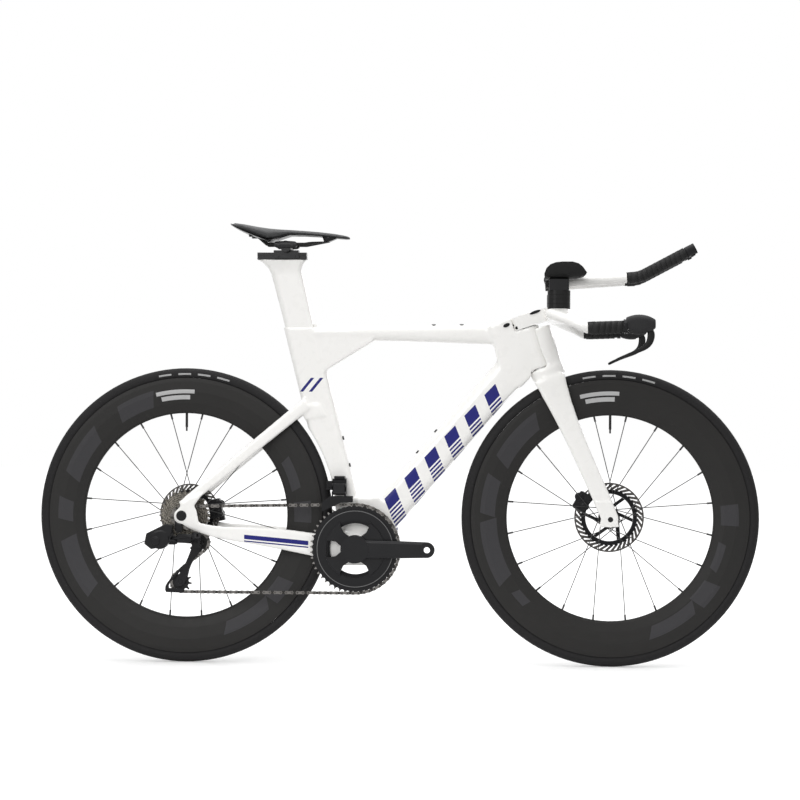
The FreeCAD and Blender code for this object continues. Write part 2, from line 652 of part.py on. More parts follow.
# Saddle: a padded cover on a base, with two rails that pass through the cradle barrel
sizes(saddle_back=126, saddle_fore=146, saddle_tail_rise=83, saddle_nose_rise=52, saddle_sag=5,
      saddle_width=130, saddle_pad=11, saddle_base=4, saddle_drop=21, rail_radius=3.6,
      rail_rear_spread=34, rail_nose_spread=10, rail_rise=34.5)
rail_end_shares = (0.15, 0.9)
saddle_shares = ((0, 0.46, 0.12, 0.3), (0.08, 0.86, 0.45, 0.6), (0.2, 1, 0.9, 1), (0.42, 0.72, 0.85, 1),
                 (0.62, 0.44, 0.5, 0.9), (0.85, 0.33, 0.34, 0.75), (0.97, 0.26, 0.26, 0.5),
                 (1, 0.16, 0.14, 0.3))


def saddle_top(share):
    rise = between(size.saddle_tail_rise, size.saddle_nose_rise, share)
    return post_head + rise - size.saddle_sag * math.sin(math.pi * share)


def saddle_section(share, width_share, drop_share, top_drop, edge):
    x = between(clamp_x - size.saddle_back, clamp_x + size.saddle_fore, share)
    half = size.saddle_width * width_share / 2
    crown = saddle_top(share) - top_drop
    shoulder = crown - size.saddle_drop * drop_share
    lower = shoulder - edge
    belly = crown - edge
    return Part.Wire([
        Part.Arc(Vector(x, -half, shoulder), Vector(x, 0, crown), Vector(x, half, shoulder)).toShape(),
        Part.makeLine(Vector(x, half, shoulder), Vector(x, half, lower)),
        Part.Arc(Vector(x, half, lower), Vector(x, 0, belly), Vector(x, -half, lower)).toShape(),
        Part.makeLine(Vector(x, -half, lower), Vector(x, -half, shoulder))])


saddle_pad = loft([saddle_section(share, wide, drop, 0, size.saddle_pad * thick)
                   for share, wide, drop, thick in saddle_shares])
saddle_base = loft([saddle_section(share, wide, drop, size.saddle_pad * thick + size.run_gap,
                                   size.saddle_base * thick)
                    for share, wide, drop, thick in saddle_shares])
node("saddle_cover", made("saddle_cover", saddle_pad))
rail_bars = []
cradle_span = 2 * (size.rail_bar_y + size.cradle_ear)
cradle = cylinder(size.cradle_radius, tilt_centre - across * cradle_span / 2,
                  tilt_centre + across * cradle_span / 2)
for way in sides.values():
    low = Vector(clamp_x, way * size.rail_bar_y, post_head + size.rail_rise)
    reach = size.cradle_reach
    tail_x, nose_x = (between(-size.saddle_back, size.saddle_fore, share) for share in rail_end_shares)
    tail_z, nose_z = (saddle_top(share) - size.saddle_pad / 2 for share in rail_end_shares)
    tail = Vector(clamp_x + tail_x, way * size.rail_rear_spread, tail_z)
    nose = Vector(clamp_x + nose_x, way * size.rail_nose_spread, nose_z)
    route = [tail, low - forward * reach, low + forward * reach, nose]
    bar = bent_rod(route, size.rail_radius)
    rail_bars.append(biggest(bar.cut(saddle_pad).cut(saddle_base)))
    cradle = cradle.cut(cylinder(size.rail_radius + size.run_gap / 2, low - forward * reach,
                                 low + forward * reach))
cradle_room = cylinder(size.cradle_radius + 3 * size.seat_gap, tilt_centre - across * cradle_span,
                       tilt_centre + across * cradle_span)
node("saddle_base", made("saddle_base", biggest(saddle_base.cut(cradle_room))))
node("saddle_rails", made("saddle_rails", Part.Compound(rail_bars)))
node("saddle_cradle", made("saddle_cradle", cradle.Solids[0]))
clamp_bolts = []
for way in sides.values():
    for end in (-1, 1):
        spot = Vector(clamp_x + end * size.carriage_length / 3, way * carriage_half,
                      post_head + size.rail_height / 2)
        clamp_bolts.append(cylinder(size.clamp_bolt_radius, spot,
                                    spot + across * way * size.clamp_bolt_radius))
node("saddle_carriage", made("saddle_carriage", Part.Compound([carriage, *clamp_bolts])))

# Fork: two legs, crown, steerer and the fairing that wraps the head tube. Places are in the steering frame
sizes(leg_tip_chord=38, leg_low_chord=41, leg_mid_chord=47, leg_top_chord=76, leg_low_x=29, leg_mid_x=20,
      leg_top_x=11,
      leg_tip_thickness=9.8, leg_top_thickness=14, leg_top_y=27, fork_drop_radius=18, crown_lift=8,
      crown_rear=-28,
      crown_front=50, crown_width=60, crown_gap=1, fairing_rear=12, fairing_width=52, fairing_rise=90,
      head_gap=1,
      tyre_side_gap=5.6, stem_height=29, stem_rear=-36, stem_front=60, stem_width=48)
fork_inner = size.front_hub_width / 2 + size.run_gap
leg_tip_y = fork_inner + size.leg_tip_thickness / 2
crown_low = size.tyre_radius + size.crown_lift
crown_top = head_low - size.crown_gap
fairing_top = head_low + size.fairing_rise
leg_rise_shares = (0, 0.43, 0.67, 1)
leg_pinch_shares = (0, 0.4, 0.7, 1)
leg_table = tuple(zip(leg_rise_shares, (size.fork_rake, size.leg_low_x, size.leg_mid_x, size.leg_top_x),
                      (size.leg_tip_chord, size.leg_low_chord, size.leg_mid_chord, size.leg_top_chord),
                      leg_pinch_shares))


def upright(low, high, rear, front, width):
    wires = [stadium(Vector((rear + front) / 2, 0, height), forward, across, front - rear, width)
             for height in (low, high)]
    return loft(wires)


def fork_leg(way):
    leg_top = crown_low + size.crown_gap * 2
    wires = [stadium(Vector(x, way * between(leg_tip_y, size.leg_top_y, pinch), leg_top * rise), forward,
                     across,
                     chord, between(size.leg_tip_thickness, size.leg_top_thickness, pinch))
             for rise, x, chord, pinch in leg_table]
    start = Vector(size.fork_rake, way * fork_inner, 0)
    disc = cylinder(size.fork_drop_radius, start, start + across * way * size.leg_tip_thickness)
    return loft(wires).fuse(disc)


crown = upright(crown_low, crown_top, size.crown_rear, size.crown_front, size.crown_width)
fairing_front = size.crown_front - 2 * size.crown_gap
fairing = upright(crown_top - size.crown_gap, fairing_top, fairing_front - 2 * size.fairing_width,
                  fairing_front,
                  size.fairing_width)
fairing = fairing.cut(Part.makeBox(size.fairing_width * 2, size.fairing_width * 2, fairing_top,
                                   Vector(size.fairing_rear - size.fairing_width * 2, -size.fairing_width,
                                          crown_top - 2 * size.crown_gap)))
fairing = fairing.cut(Part.makeCylinder(size.head_radius + size.head_gap, fairing_top,
                                        Vector(0, 0, crown_top)))
stem_low = head_top + size.head_gap
stem_top = stem_low + size.stem_height
steerer = Part.makeCylinder(size.steerer_radius, stem_top - crown_low - size.stem_height / 8,
                            Vector(0, 0, crown_low))
fork_shape = crown.fuse(fork_leg(1)).fuse(fork_leg(-1)).fuse(fairing).fuse(steerer)
fork_hole = cylinder(size.axle_radius + size.axle_hole_gap, Vector(size.fork_rake, -size.front_hub_width, 0),
                     Vector(size.fork_rake, size.front_hub_width, 0))
tyre_side = size.tyre_section + size.tyre_side_gap
tyre_room = cylinder(size.tyre_radius + size.wheel_cut_gap / 2, Vector(size.fork_rake, -tyre_side, 0),
                     Vector(size.fork_rake, tyre_side, 0))
hub_room = cylinder(size.fork_drop_radius + size.crown_gap, Vector(size.fork_rake, -fork_inner, 0),
                    Vector(size.fork_rake, fork_inner, 0))
fork_shape = steered(biggest(fork_shape.cut(fork_hole).cut(tyre_room).cut(hub_room)))
node("fork", made("fork", fork_shape))
stem = upright(stem_low, stem_top, size.stem_rear, size.stem_front, size.stem_width)
stem = stem.cut(Part.makeCylinder(size.steerer_radius, size.stem_height, Vector(0, 0, stem_low)))
stem_shape = steered(stem.Solids[0])
steerer_cap = steer_rod(size.steerer_radius, stem_top, stem_top + size.crown_gap * 2)
node("stem", made("stem", Part.Compound([stem_shape, steerer_cap])))
node("front_axle", through_axle("front_axle", front_end + " + run_gap + leg_tip_thickness", front_place))

# Base bar: a flat wing whose ends turn forward into round grips
sizes(bar_ahead=77.6, bar_below=2.3, bar_chord=60, bar_thickness=24, bar_flat_half=140, bar_half_width=200,
      grip_radius=12, bend_ahead=24, bend_below=15, bend_y=180, bend_chord=38, grip_ahead=60, grip_below=34,
      grip_length=85, grip_rise=3, tape_thickness=3, hood_length=66, hood_width=27, hood_tall=44,
      hood_lift=5.3)
bar_mid = steer_place.multVec(upward * stem_top) + Vector(size.bar_ahead, 0, -size.bar_below)
grip_start = bar_mid + Vector(size.grip_ahead, size.bar_half_width, -size.grip_below)
grip_end = grip_start + Vector(size.grip_length, 0, size.grip_rise)
grip_way = (grip_end - grip_start).normalize()
grip_tube = size.grip_radius - size.seat_gap
hood_end_x = grip_end.x + size.hood_length


def bar_end():
    level = bar_mid + across * size.bar_flat_half
    bend = bar_mid + Vector(size.bend_ahead, size.bend_y, -size.bend_below)
    round_size = 2 * size.grip_radius
    bend_turn = loft([stadium(level, forward, upward, size.bar_chord, size.bar_thickness),
                      stadium(bend, forward - across, upward, size.bend_chord, size.bar_thickness),
                      stadium(grip_start, -across, upward, round_size + size.seat_gap, round_size)])
    return bend_turn.fuse(cylinder(grip_tube, grip_start - grip_way, grip_end + grip_way * size.hood_width))


flat = loft([stadium(bar_mid + across * (way * size.bar_flat_half), forward, upward, size.bar_chord,
                     size.bar_thickness) for way in sides.values()])
bar_shape = flat.fuse(bar_end()).fuse(mirrored(bar_end()))
fork_and_stem = steered(stem.Solids[0]).fuse(fork_shape)
bar_shape = biggest(bar_shape.cut(fork_and_stem))
node("base_bar", made("base_bar", bar_shape))
tape = cylinder(size.grip_radius + size.tape_thickness, grip_start + grip_way * size.tape_thickness, grip_end)
tape = biggest(tape.cut(bar_shape))
node("bar_tape", made("bar_tape", Part.Compound([tape, mirrored(tape)])))

# Brake hoods and levers
sizes(lever_back=13, lever_below=2, lever_barrel=5.5, lever_radius=4.5, lever_slot=12, lever_slot_rise=7.7,
      lever_pin=2, lever_reach=76, lever_fall=74)
lever_pivot = Vector(hood_end_x - size.lever_back, size.bar_half_width, grip_end.z - size.lever_below)
hood_shares = ((0.02, 0.7, 0.95), (0.4, 1, 1), (0.8, 0.82, 0.96), (1, 0.5, 0.7))


def hood():
    wires = []
    for share, tall, wide in hood_shares:
        middle = grip_end + Vector(size.hood_length * share, 0, size.hood_lift)
        wires.append(stadium(middle, upward, across, size.hood_tall * tall, size.hood_width * wide))
    shape = loft(wires).cut(bar_shape)
    room = Part.makeBox(size.hood_length, size.lever_slot, size.hood_tall,
                        lever_pivot + Vector(-size.lever_barrel * 2, -size.lever_slot / 2,
                                             size.lever_slot_rise - size.hood_tall))
    pin = cylinder(size.lever_pin, lever_pivot - across * size.lever_slot,
                   lever_pivot + across * size.lever_slot)
    return biggest(shape.cut(room)).fuse(pin)


def lever():
    route_shares = ((0, 0), (-0.01, 0.33), (0.12, 0.52), (0.45, 0.7), (1, 1))
    route = [lever_pivot - forward * size.lever_reach * back - upward * size.lever_fall * down
             for back, down in route_shares]
    half = size.lever_slot / 2 - 2 * size.seat_gap
    barrel = cylinder(size.lever_barrel, lever_pivot - across * half, lever_pivot + across * half)
    hole = cylinder(size.lever_pin + size.run_gap / 2, lever_pivot - across * size.lever_slot,
                    lever_pivot + across * size.lever_slot)
    shape = bent_rod(route, size.lever_radius).fuse(Part.makeSphere(size.lever_radius, route[-1]))
    return shape.fuse(barrel).cut(hole).Solids[0]


hood_shape = biggest(hood())
lever_shape = lever()
node("brake_hoods", made("brake_hoods", Part.Compound([hood_shape, mirrored(hood_shape)])))
node("left_brake_lever", made("left_brake_lever", lever_shape))
node("right_brake_lever", made("right_brake_lever", mirrored(lever_shape)))

# Aero extensions on riser stacks, with armrest cups and pads
sizes(rest_y=112, riser_length=51, riser_width=40, riser_count=5, riser_height=8.2, bracket_plate=25,
      extension_y=60, extension_radius=11.1, extension_rise=73, extension_tilt=4, extension_back=30,
      extension_bend=182, extension_bend_angle=24, extension_tip=287, extension_clamp_wall=5, clamp_length=44,
      cup_outer=45, cup_wall=3, cup_back=33, cup_fore=62, cup_height=37, pad_thickness=9, pad_inset=3,
      grip_tape_start=153, pod_length=22, pod_wall=1.4, button_radius=5, button_travel=1.5, button_height=4)
riser_low = bar_mid.z + size.bar_thickness / 2
riser_top = riser_low + size.riser_count * size.riser_height
risers = []
ext_way = Rotation(across, -size.extension_tilt).multVec(forward)
ext_bend_way = Rotation(across, -size.extension_tilt - size.extension_bend_angle).multVec(forward)
cup_low = riser_top + size.bracket_plate + size.seat_gap
dome_shares = ((0.03, 0), (0, 0.3), (0.05, 0.62), (0.14, 0.84), (0.27, 0.96), (0.42, 1), (0.66, 1),
               (0.8, 0.9), (0.9, 0.7), (1, 0.36), (0.93, 0.18), (0.72, 0))


def ext_point(ahead):
    return bar_mid + Vector(ahead, size.extension_y, size.extension_rise + ahead * ext_way.z / ext_way.x)


ext_rear = ext_point(-size.extension_back)
ext_bend = ext_point(size.extension_bend)
ext_tip = ext_bend + ext_bend_way * ((size.extension_tip - size.extension_bend) / ext_bend_way.x)
pod_radius = size.extension_radius + size.pod_wall
cup_rear = bar_mid.x - size.cup_back
cup_front = bar_mid.x + size.cup_fore
ext_room = cylinder(size.extension_radius + size.run_gap / 2, ext_rear - ext_way * size.overrun,
                    ext_bend)
for step in range(int(size.riser_count)):
    low = riser_low + step * size.riser_height
    wires = [stadium(Vector(bar_mid.x, size.rest_y, height), forward, across, size.riser_length,
                     size.riser_width)
             for height in (low, low + size.riser_height)]
    risers.append(loft(wires))
rest_bracket = Part.makeBox(size.clamp_length, size.rest_y + size.riser_width / 2 - size.extension_y,
                            size.bracket_plate,
                            Vector(bar_mid.x - size.clamp_length / 2, size.extension_y, riser_top))
clamp_mid = ext_point(0)
clamp_ring = cylinder(size.extension_radius + size.extension_clamp_wall,
                      clamp_mid - ext_way * size.clamp_length / 2,
                      clamp_mid + ext_way * size.clamp_length / 2)
rest_bracket = biggest(rest_bracket.fuse(clamp_ring).cut(ext_room))


def trough(outer, inset):
    wires = []
    for x in (cup_rear + inset, cup_front - inset):
        wires.append(stadium(Vector(x, size.rest_y, cup_low + size.cup_outer * 2), upward, across,
                             size.cup_outer * 4 - 2 * (size.cup_outer - outer), 2 * outer))
    return loft(wires)


def dome(inset):
    length = cup_front - cup_rear - 2 * inset
    return prism([(cup_rear + inset + length * x, cup_low + (size.cup_height - inset) * z)
                  for x, z in dome_shares], 4 * size.cup_outer, size.rest_y)


cup_inner = size.cup_outer - size.cup_wall
cup = trough(size.cup_outer, 0).cut(trough(cup_inner, -size.overrun)).common(dome(0))
rest_pad = trough(cup_inner - size.run_gap,
                  size.pad_inset).cut(trough(cup_inner - size.pad_thickness, -size.overrun))
rest_pad = rest_pad.common(dome(size.pad_inset))
for shape, label in ((biggest(cup), "armrest_cups"), (biggest(rest_pad), "armrest_pads"),
                     (rest_bracket, "extension_clamps")):
    node(label, made(label, Part.Compound([shape, mirrored(shape)])))
node("riser_spacers", made("riser_spacers", Part.Compound(risers + [mirrored(riser) for riser in risers])))
extension = bent_rod([ext_rear, ext_bend, ext_tip], size.extension_radius)
tape_start = ext_point(size.grip_tape_start)
tape_tube = bent_rod([tape_start, ext_bend, ext_tip], size.extension_radius + size.tape_thickness)
ext_tape = biggest(tape_tube.cut(extension))
pod_end = ext_tip + ext_bend_way * size.pod_length
button_way = Vector(ext_bend_way.z, 0, -ext_bend_way.x)
button_mid = ext_tip + ext_bend_way * (size.pod_length / 2)
pod = cylinder(pod_radius, ext_tip, pod_end)
button_room = cylinder(size.button_radius + size.run_gap, button_mid + button_way * pod_radius / 2,
                       button_mid + button_way * pod_radius * 2)
pod = biggest(pod.cut(button_room))
button_start = pod_radius / 2 + size.button_travel + size.seat_gap
button = cylinder(size.button_radius, button_mid + button_way * button_start,
                  button_mid + button_way * (pod_radius + size.button_height / 2))
for side, way in sides.items():
    for shape, label in ((extension, "extension"), (Part.Compound([ext_tape, pod]), "extension_grip"),
                         (button, "shift_button")):
        name = f"{side}_{label}"
        node(name, made(name, shape if way > 0 else mirrored(shape)))

# Disc brakes: each caliper straddles its rotor and holds two sliding pads
sizes(caliper_long=44, caliper_deep=30, caliper_wide=24, slot_gap=0.2, pad_long=24, pad_deep=17,
      pad_thick=3.2,
      pad_shift=3, pad_gap=0.4, caliper_inset=8, front_caliper_angle=150, rear_caliper_angle=12,
      caliper_round=5,
      caliper_roof=6, caliper_foot=18)


def caliper_place(axle, angle, radius, y):
    turn = Rotation(across, -angle)
    return Placement(axle + turn.multVec(forward) * radius + across * y, turn)


def centred_box(spans, middle):
    return Part.makeBox(*spans, middle - Vector(*spans) * 0.5)


def caliper(place, foot=None):
    body = centred_box((size.caliper_deep, size.caliper_wide, size.caliper_long), Vector())
    corners = [edge for edge in body.Edges if abs(edge.tangentAt(edge.FirstParameter).y) > 0.5]
    body = body.makeFillet(size.caliper_round, corners)
    if foot:
        body = body.fuse(foot)
    slot_wide = size.rotor_thickness + 2 * (size.pad_gap + size.pad_thick + size.slot_gap)
    slot_middle = Vector(-size.caliper_deep / 2 - size.caliper_roof, 0, 0)
    slot = centred_box((size.caliper_deep * 2, slot_wide, size.pad_long + size.pad_thick), slot_middle)
    slot = slot.fuse(centred_box((size.caliper_deep * 2, size.rotor_thickness * 2, size.caliper_long * 2),
                                 slot_middle))
    return body.cut(slot).transformed(place.toMatrix())


def brake_pad(place, way):
    middle = Vector(-size.pad_shift, way * (size.rotor_thickness / 2 + size.pad_gap + size.pad_thick / 2), 0)
    return centred_box((size.pad_deep, size.pad_thick, size.pad_long), middle).transformed(place.toMatrix())


front_caliper_place = caliper_place(front_axle, size.front_caliper_angle,
                                    size.front_rotor_radius - size.caliper_inset, number(front_rotor_y))
rear_caliper_place = caliper_place(rear_axle, size.rear_caliper_angle,
                                   size.rear_rotor_radius - size.caliper_inset, number(rear_rotor_y))
front_caliper = biggest(caliper(front_caliper_place).cut(fork_shape))
foot_middle = Vector(0, dropout_y - number(rear_rotor_y) - size.dropout_thickness, -size.caliper_long / 2)
rear_foot = centred_box((size.caliper_deep, size.caliper_foot, size.caliper_foot), foot_middle)
rear_caliper = biggest(caliper(rear_caliper_place, rear_foot).cut(left_chainstay).cut(left_seatstay))
node("front_caliper", made("front_caliper", front_caliper))
node("rear_caliper", made("rear_caliper", rear_caliper))
for end, place in (("front", front_caliper_place), ("rear", rear_caliper_place)):
    for side, way in sides.items():
        name = f"{end}_{side}_brake_pad"
        node(name, made(name, brake_pad(place, way)))

# Drive: toothed wheels whose gaps hold the chain's rollers
sizes(chain_pitch=12.7, roller_radius=3.85, seat_clearance=0.45, tooth_height=2.1, flank_angle=20,
      tooth_thickness=1.6, ring_thickness=1.4, outer_teeth=50, inner_teeth=34, pulley_teeth=11, ring_y=48.3,
      ring_step=7, cog_pitch=3.6, small_cog_y=64, cog_wall=0.7, ring_hole=63, bolt_circle=55, ring_tab=9,
      ring_cover_outer=89, ring_cover=4)
cog_teeth = (11, 12, 13, 14, 15, 16, 17, 19, 21, 23, 25, 28)


def pitch_radius(teeth):
    return size.chain_pitch / 2 / math.sin(math.pi / teeth)


def toothed(teeth, thickness, phase):
    radius = pitch_radius(teeth)
    seat = size.roller_radius + size.seat_clearance
    lean = math.radians(size.flank_angle)
    edges = []
    corners = []
    for index in range(teeth):
        turn = phase + 2 * math.pi * index / teeth
        out = Vector(math.cos(turn), 0, math.sin(turn))
        side = Vector(-math.sin(turn), 0, math.cos(turn))
        flank = seat * math.cos(lean)
        rise = size.tooth_height + seat * math.sin(lean)
        low = [out * (radius - seat * math.sin(lean)) + side * (flank * way) for way in (-1, 1)]
        high = [out * (radius + size.tooth_height) + side * ((flank + rise * math.tan(lean)) * way)
                for way in (-1, 1)]
        corners.append(high)
        edges += [Part.makeLine(high[0], low[0]), Part.Arc(low[0], out * (radius - seat), low[1]).toShape(),
                  Part.makeLine(low[1], high[1])]
        edges.append(None)
    for index in range(teeth):
        edges[4 * index + 3] = Part.makeLine(corners[index][1], corners[(index + 1) % teeth][0])
    face = Part.Face(Part.Wire(edges))
    return face.extrude(across * thickness).translated(across * (-thickness / 2))


def tube(outer, inner, low, high):
    shape = Part.makeCylinder(outer, high - low, across * low, across)
    return shape.cut(Part.makeCylinder(inner, high - low, across * low, across))


# Chain line: round the outer ring, the small cog and the two derailleur pulleys
sizes(guide_ahead=40, guide_below=59, cage_length=99.7, cage_start_angle=250, cage_search_angle=12,
      inner_width=2.3,
      plate_thickness=0.7, plate_gap=0.12, plate_height=8.2, pin_radius=1.8)
step_shares = (0.9, 1.2)
guide_centre = rear_axle + Vector(size.guide_ahead, 0, -size.guide_below)
ring_middle = -size.ring_y
cog_middle = -size.small_cog_y


def tangent(first, first_radius, first_way, second, second_radius, second_way):
    gap = second - first
    distance = math.hypot(gap.x, gap.z)
    heading = math.atan2(gap.z, gap.x)
    lean = math.asin((first_way * first_radius - second_way * second_radius) / distance)
    turn = heading - math.pi / 2 + lean
    normal = Vector(math.cos(turn), 0, math.sin(turn))
    return first + normal * (first_way * first_radius), second + normal * (second_way * second_radius)


class ChainPath:
    # wheels in the order the chain meets them, with the way it turns: 1 is counterclockwise seen from -Y
    def __init__(self, cage_angle):
        tension = guide_centre + Vector(math.cos(cage_angle), 0, math.sin(cage_angle)) * size.cage_length
        small = pitch_radius(int(size.pulley_teeth))
        self.wheels = [(rear_axle, pitch_radius(cog_teeth[0]), 1, cog_middle),
                       (guide_centre, small, -1, cog_middle),
                       (tension, small, 1, cog_middle),
                       (bracket, pitch_radius(int(size.outer_teeth)), 1, ring_middle)]
        self.tension = tension
        self.runs = []
        count = len(self.wheels)
        straight = [tangent(*self.wheels[i][:3], *self.wheels[(i + 1) % count][:3]) for i in range(count)]
        for index, (middle, radius, way, y) in enumerate(self.wheels):
            enter = straight[index - 1][1]
            leave = straight[index][0]
            begin = math.atan2(enter.z - middle.z, enter.x - middle.x)
            finish = math.atan2(leave.z - middle.z, leave.x - middle.x)
            sweep = (finish - begin) * way % (2 * math.pi)
            self.runs.append(("arc", radius * sweep, (middle, radius, begin, way, y)))
            flat = straight[index][1] - straight[index][0]
            self.runs.append(("line", flat.Length,
                              (*straight[index], y, self.wheels[(index + 1) % count][3])))
        self.length = sum(run[1] for run in self.runs)

    def at(self, distance):
        distance %= self.length
        for kind, length, facts in self.runs:
            if distance <= length:
                break
            distance -= length
        if kind == "arc":
            middle, radius, begin, way, y = facts
            turn = begin + way * distance / radius
            return Vector(middle.x + radius * math.cos(turn), y, middle.z + radius * math.sin(turn))
        start, end, near, far = facts
        share = distance / length
        place = between(start, end, share)
        place.y = between(near, far, share * share * (3 - 2 * share))
        return place

    def next(self, distance):
        start = self.at(distance)
        low, high = (distance + size.chain_pitch * share for share in step_shares)
        for _ in range(48):
            middle = (low + high) / 2
            if (self.at(middle) - start).Length < size.chain_pitch:
                low = middle
            else:
                high = middle
        return (low + high) / 2

    def walk(self, count):
        spots = [self.runs[0][1] / 2]
        for _ in range(count):
            spots.append(self.next(spots[-1]))
        return spots


def settle_cage():
    # the sprung cage turns until the chain is a whole even number of links
    angle = math.radians(size.cage_start_angle)
    path = ChainPath(angle)
    count = 2 * round(path.length / size.chain_pitch / 2)
    low = angle - math.radians(size.cage_search_angle)
    high = angle + math.radians(size.cage_search_angle)

    def slack(try_angle):
        trial = ChainPath(try_angle)
        spots = trial.walk(count)
        return spots[-1] - spots[0] - trial.length

    rising = slack(high) > slack(low)
    for _ in range(40):
        middle = (low + high) / 2
        if (slack(middle) > 0) == rising:
            high = middle
        else:
            low = middle
    path = ChainPath((low + high) / 2)
    return path, count, (low + high) / 2


path, link_count, cage_angle = settle_cage()
pin_spots = [path.at(distance) for distance in path.walk(link_count)[:-1]]
print("links", link_count, "cage angle", round(math.degrees(cage_angle), 2))


def phase_at(middle, radius):
    reach = [(abs(math.hypot(spot.x - middle.x, spot.z - middle.z) - radius), spot) for spot in pin_spots]
    spot = min(reach, key=lambda item: item[0])[1]
    return math.atan2(spot.z - middle.z, spot.x - middle.x)


def link_plate(y, thickness):
    half = size.chain_pitch / 2
    wire = stadium(Vector(half, y, 0), forward, upward, size.chain_pitch + size.plate_height,
                   size.plate_height)
    return Part.Face(wire).extrude(across * thickness)


def inner_link():
    inside = size.inner_width / 2
    shape = link_plate(inside, size.plate_thickness).fuse(link_plate(-inside - size.plate_thickness,
                                                                     size.plate_thickness))
    for x in (0, size.chain_pitch):
        shape = shape.fuse(Part.makeCylinder(size.roller_radius, size.inner_width, Vector(x, -inside, 0),
                                             across))
    for x in (0, size.chain_pitch):
        hole = Part.makeCylinder(size.pin_radius + size.run_gap, 4 * size.inner_width,
                                 Vector(x, -2 * size.inner_width, 0), across)
        shape = shape.cut(hole)
    return shape.Solids[0]


def outer_link():
    inside = size.inner_width / 2 + size.plate_thickness + size.plate_gap
    outside = inside + size.plate_thickness
    shape = link_plate(inside, size.plate_thickness).fuse(link_plate(-outside, size.plate_thickness))
    for x in (0, size.chain_pitch):
        shape = shape.fuse(Part.makeCylinder(size.pin_radius, 2 * outside, Vector(x, -outside, 0), across))
    return shape.Solids[0]


def chain():
    kinds = (inner_link(), outer_link())
    solids = []
    for index, start in enumerate(pin_spots):
        end = pin_spots[(index + 1) % link_count]
        way = (end - start).normalize()
        up = way.cross(across).normalize()
        turn = Rotation(way, up.cross(way), up, "XZY")
        solids.append(kinds[index % 2].transformed(Placement(start, turn).toMatrix()))
    return Part.Compound(solids)


node("chain", made("chain", chain()))

# Cassette on its freehub
sizes(freehub_outer=16.4, lockring_width=1.9)
cog_bore = size.freehub_outer + size.run_gap
cog_collar = cog_bore + size.cog_wall
freehub_inner = number(freehub_seat) + size.run_gap


def cassette():
    solids = []
    for index, teeth in enumerate(cog_teeth):
        phase = phase_at(rear_axle, pitch_radius(teeth)) if index == 0 else math.pi / teeth
        y = -size.small_cog_y + index * size.cog_pitch
        half = size.tooth_thickness / 2
        collar = Part.makeCylinder(cog_collar, size.cog_pitch, across * -half, across)
        bore = Part.makeCylinder(cog_bore, 4 * size.cog_pitch, across * -2 * size.cog_pitch, across)
        cog = toothed(teeth, size.tooth_thickness, phase).fuse(collar).cut(bore)
        solids.append(cog.translated(rear_axle + across * y).Solids[0])
    low = -size.small_cog_y - size.tooth_thickness / 2
    solids.append(tube(cog_collar, freehub_inner, low - size.lockring_width, low).translated(rear_axle))
    last = size.cog_pitch * (len(cog_teeth) - 1) - size.small_cog_y + size.tooth_thickness
    solids.append(tube(size.freehub_outer, freehub_inner, low + size.run_gap, last).translated(rear_axle))
    return Part.Compound(solids)


node("cassette", made("cassette", cassette()))

# Cranks: right arm with its spider and spindle, left arm, two rings on four bolts
sizes(crank_length=165, crank_root_tall=45, crank_tip_tall=36, crank_root_thick=15, crank_tip_thick=12,
      crank_root_y=58,
      crank_tip_y=68, boss_radius=32, left_boss_radius=20, boss_inner_y=50, left_boss_inner_y=47,
      boss_outer_y=68,
      pedal_eye=17.5, pedal_hole=7.14, spider_width=27, spider_thick=6.5, spider_angle=38, bolt_radius=4,
      spacer_radius=6.5, inner_ring_hole=58, spindle_end=64)
ring_outside = size.ring_y + size.ring_thickness / 2
spider_angles = (size.spider_angle, 180 - size.spider_angle, 180 + size.spider_angle, -size.spider_angle)


def crank_arm():
    wires = []
    for share in (0, 0.5, 1):
        middle = Vector(between(0, size.crank_length, share),
                        -between(size.crank_root_y, size.crank_tip_y, share), 0)
        wires.append(stadium(middle, upward, across,
                             between(size.crank_root_tall, size.crank_tip_tall, share),
                             between(size.crank_root_thick, size.crank_tip_thick, share)))
    eye_y = size.crank_tip_y - size.crank_tip_thick / 2
    eye_low = Vector(size.crank_length, -eye_y - size.crank_tip_thick, 0)
    eye = Part.makeCylinder(size.pedal_eye, size.crank_tip_thick, eye_low, across)
    hole = Part.makeCylinder(size.pedal_hole, 4 * size.crank_tip_thick,
                             eye_low - across * size.crank_tip_thick, across)
    return loft(wires).fuse(eye).cut(hole)


def around_bolts():
    for angle in spider_angles:
        turn = Rotation(across, -angle)
        yield turn, turn.multVec(forward) * size.bolt_circle


def right_crank():
    boss = Part.makeCylinder(size.boss_radius, size.boss_outer_y - size.boss_inner_y,
                             across * -size.boss_outer_y, across)
    star = boss
    plane = -ring_outside - size.spider_thick
    for turn, spot in around_bolts():
        arm = Part.makeBox(size.bolt_circle, size.spider_thick, size.spider_width,
                           Vector(0, plane, -size.spider_width / 2))
        end = Part.makeCylinder(size.ring_tab, size.spider_thick, spot + across * plane, across)
        star = star.fuse(arm.transformed(Placement(Vector(), turn).toMatrix())).fuse(end)
    for turn, spot in around_bolts():
        star = star.cut(Part.makeCylinder(size.bolt_radius, size.boss_outer_y,
                                          spot - across * size.boss_outer_y, across))
    spindle = Part.makeCylinder(size.spindle_radius, 2 * size.spindle_end, across * -size.spindle_end, across)
    star = biggest(star.cut(spindle))
    return Part.Compound([biggest(crank_arm().cut(boss).cut(star)), star, spindle])


def left_crank():
    boss = Part.makeCylinder(size.left_boss_radius, size.boss_outer_y - size.left_boss_inner_y,
                             across * -size.boss_outer_y, across)
    spindle = Part.makeCylinder(size.spindle_radius, 2 * size.spindle_end, across * -size.spindle_end, across)
    arm = biggest(crank_arm().fuse(boss).cut(spindle).removeSplitter())
    return arm.rotated(Vector(), upward, 180)


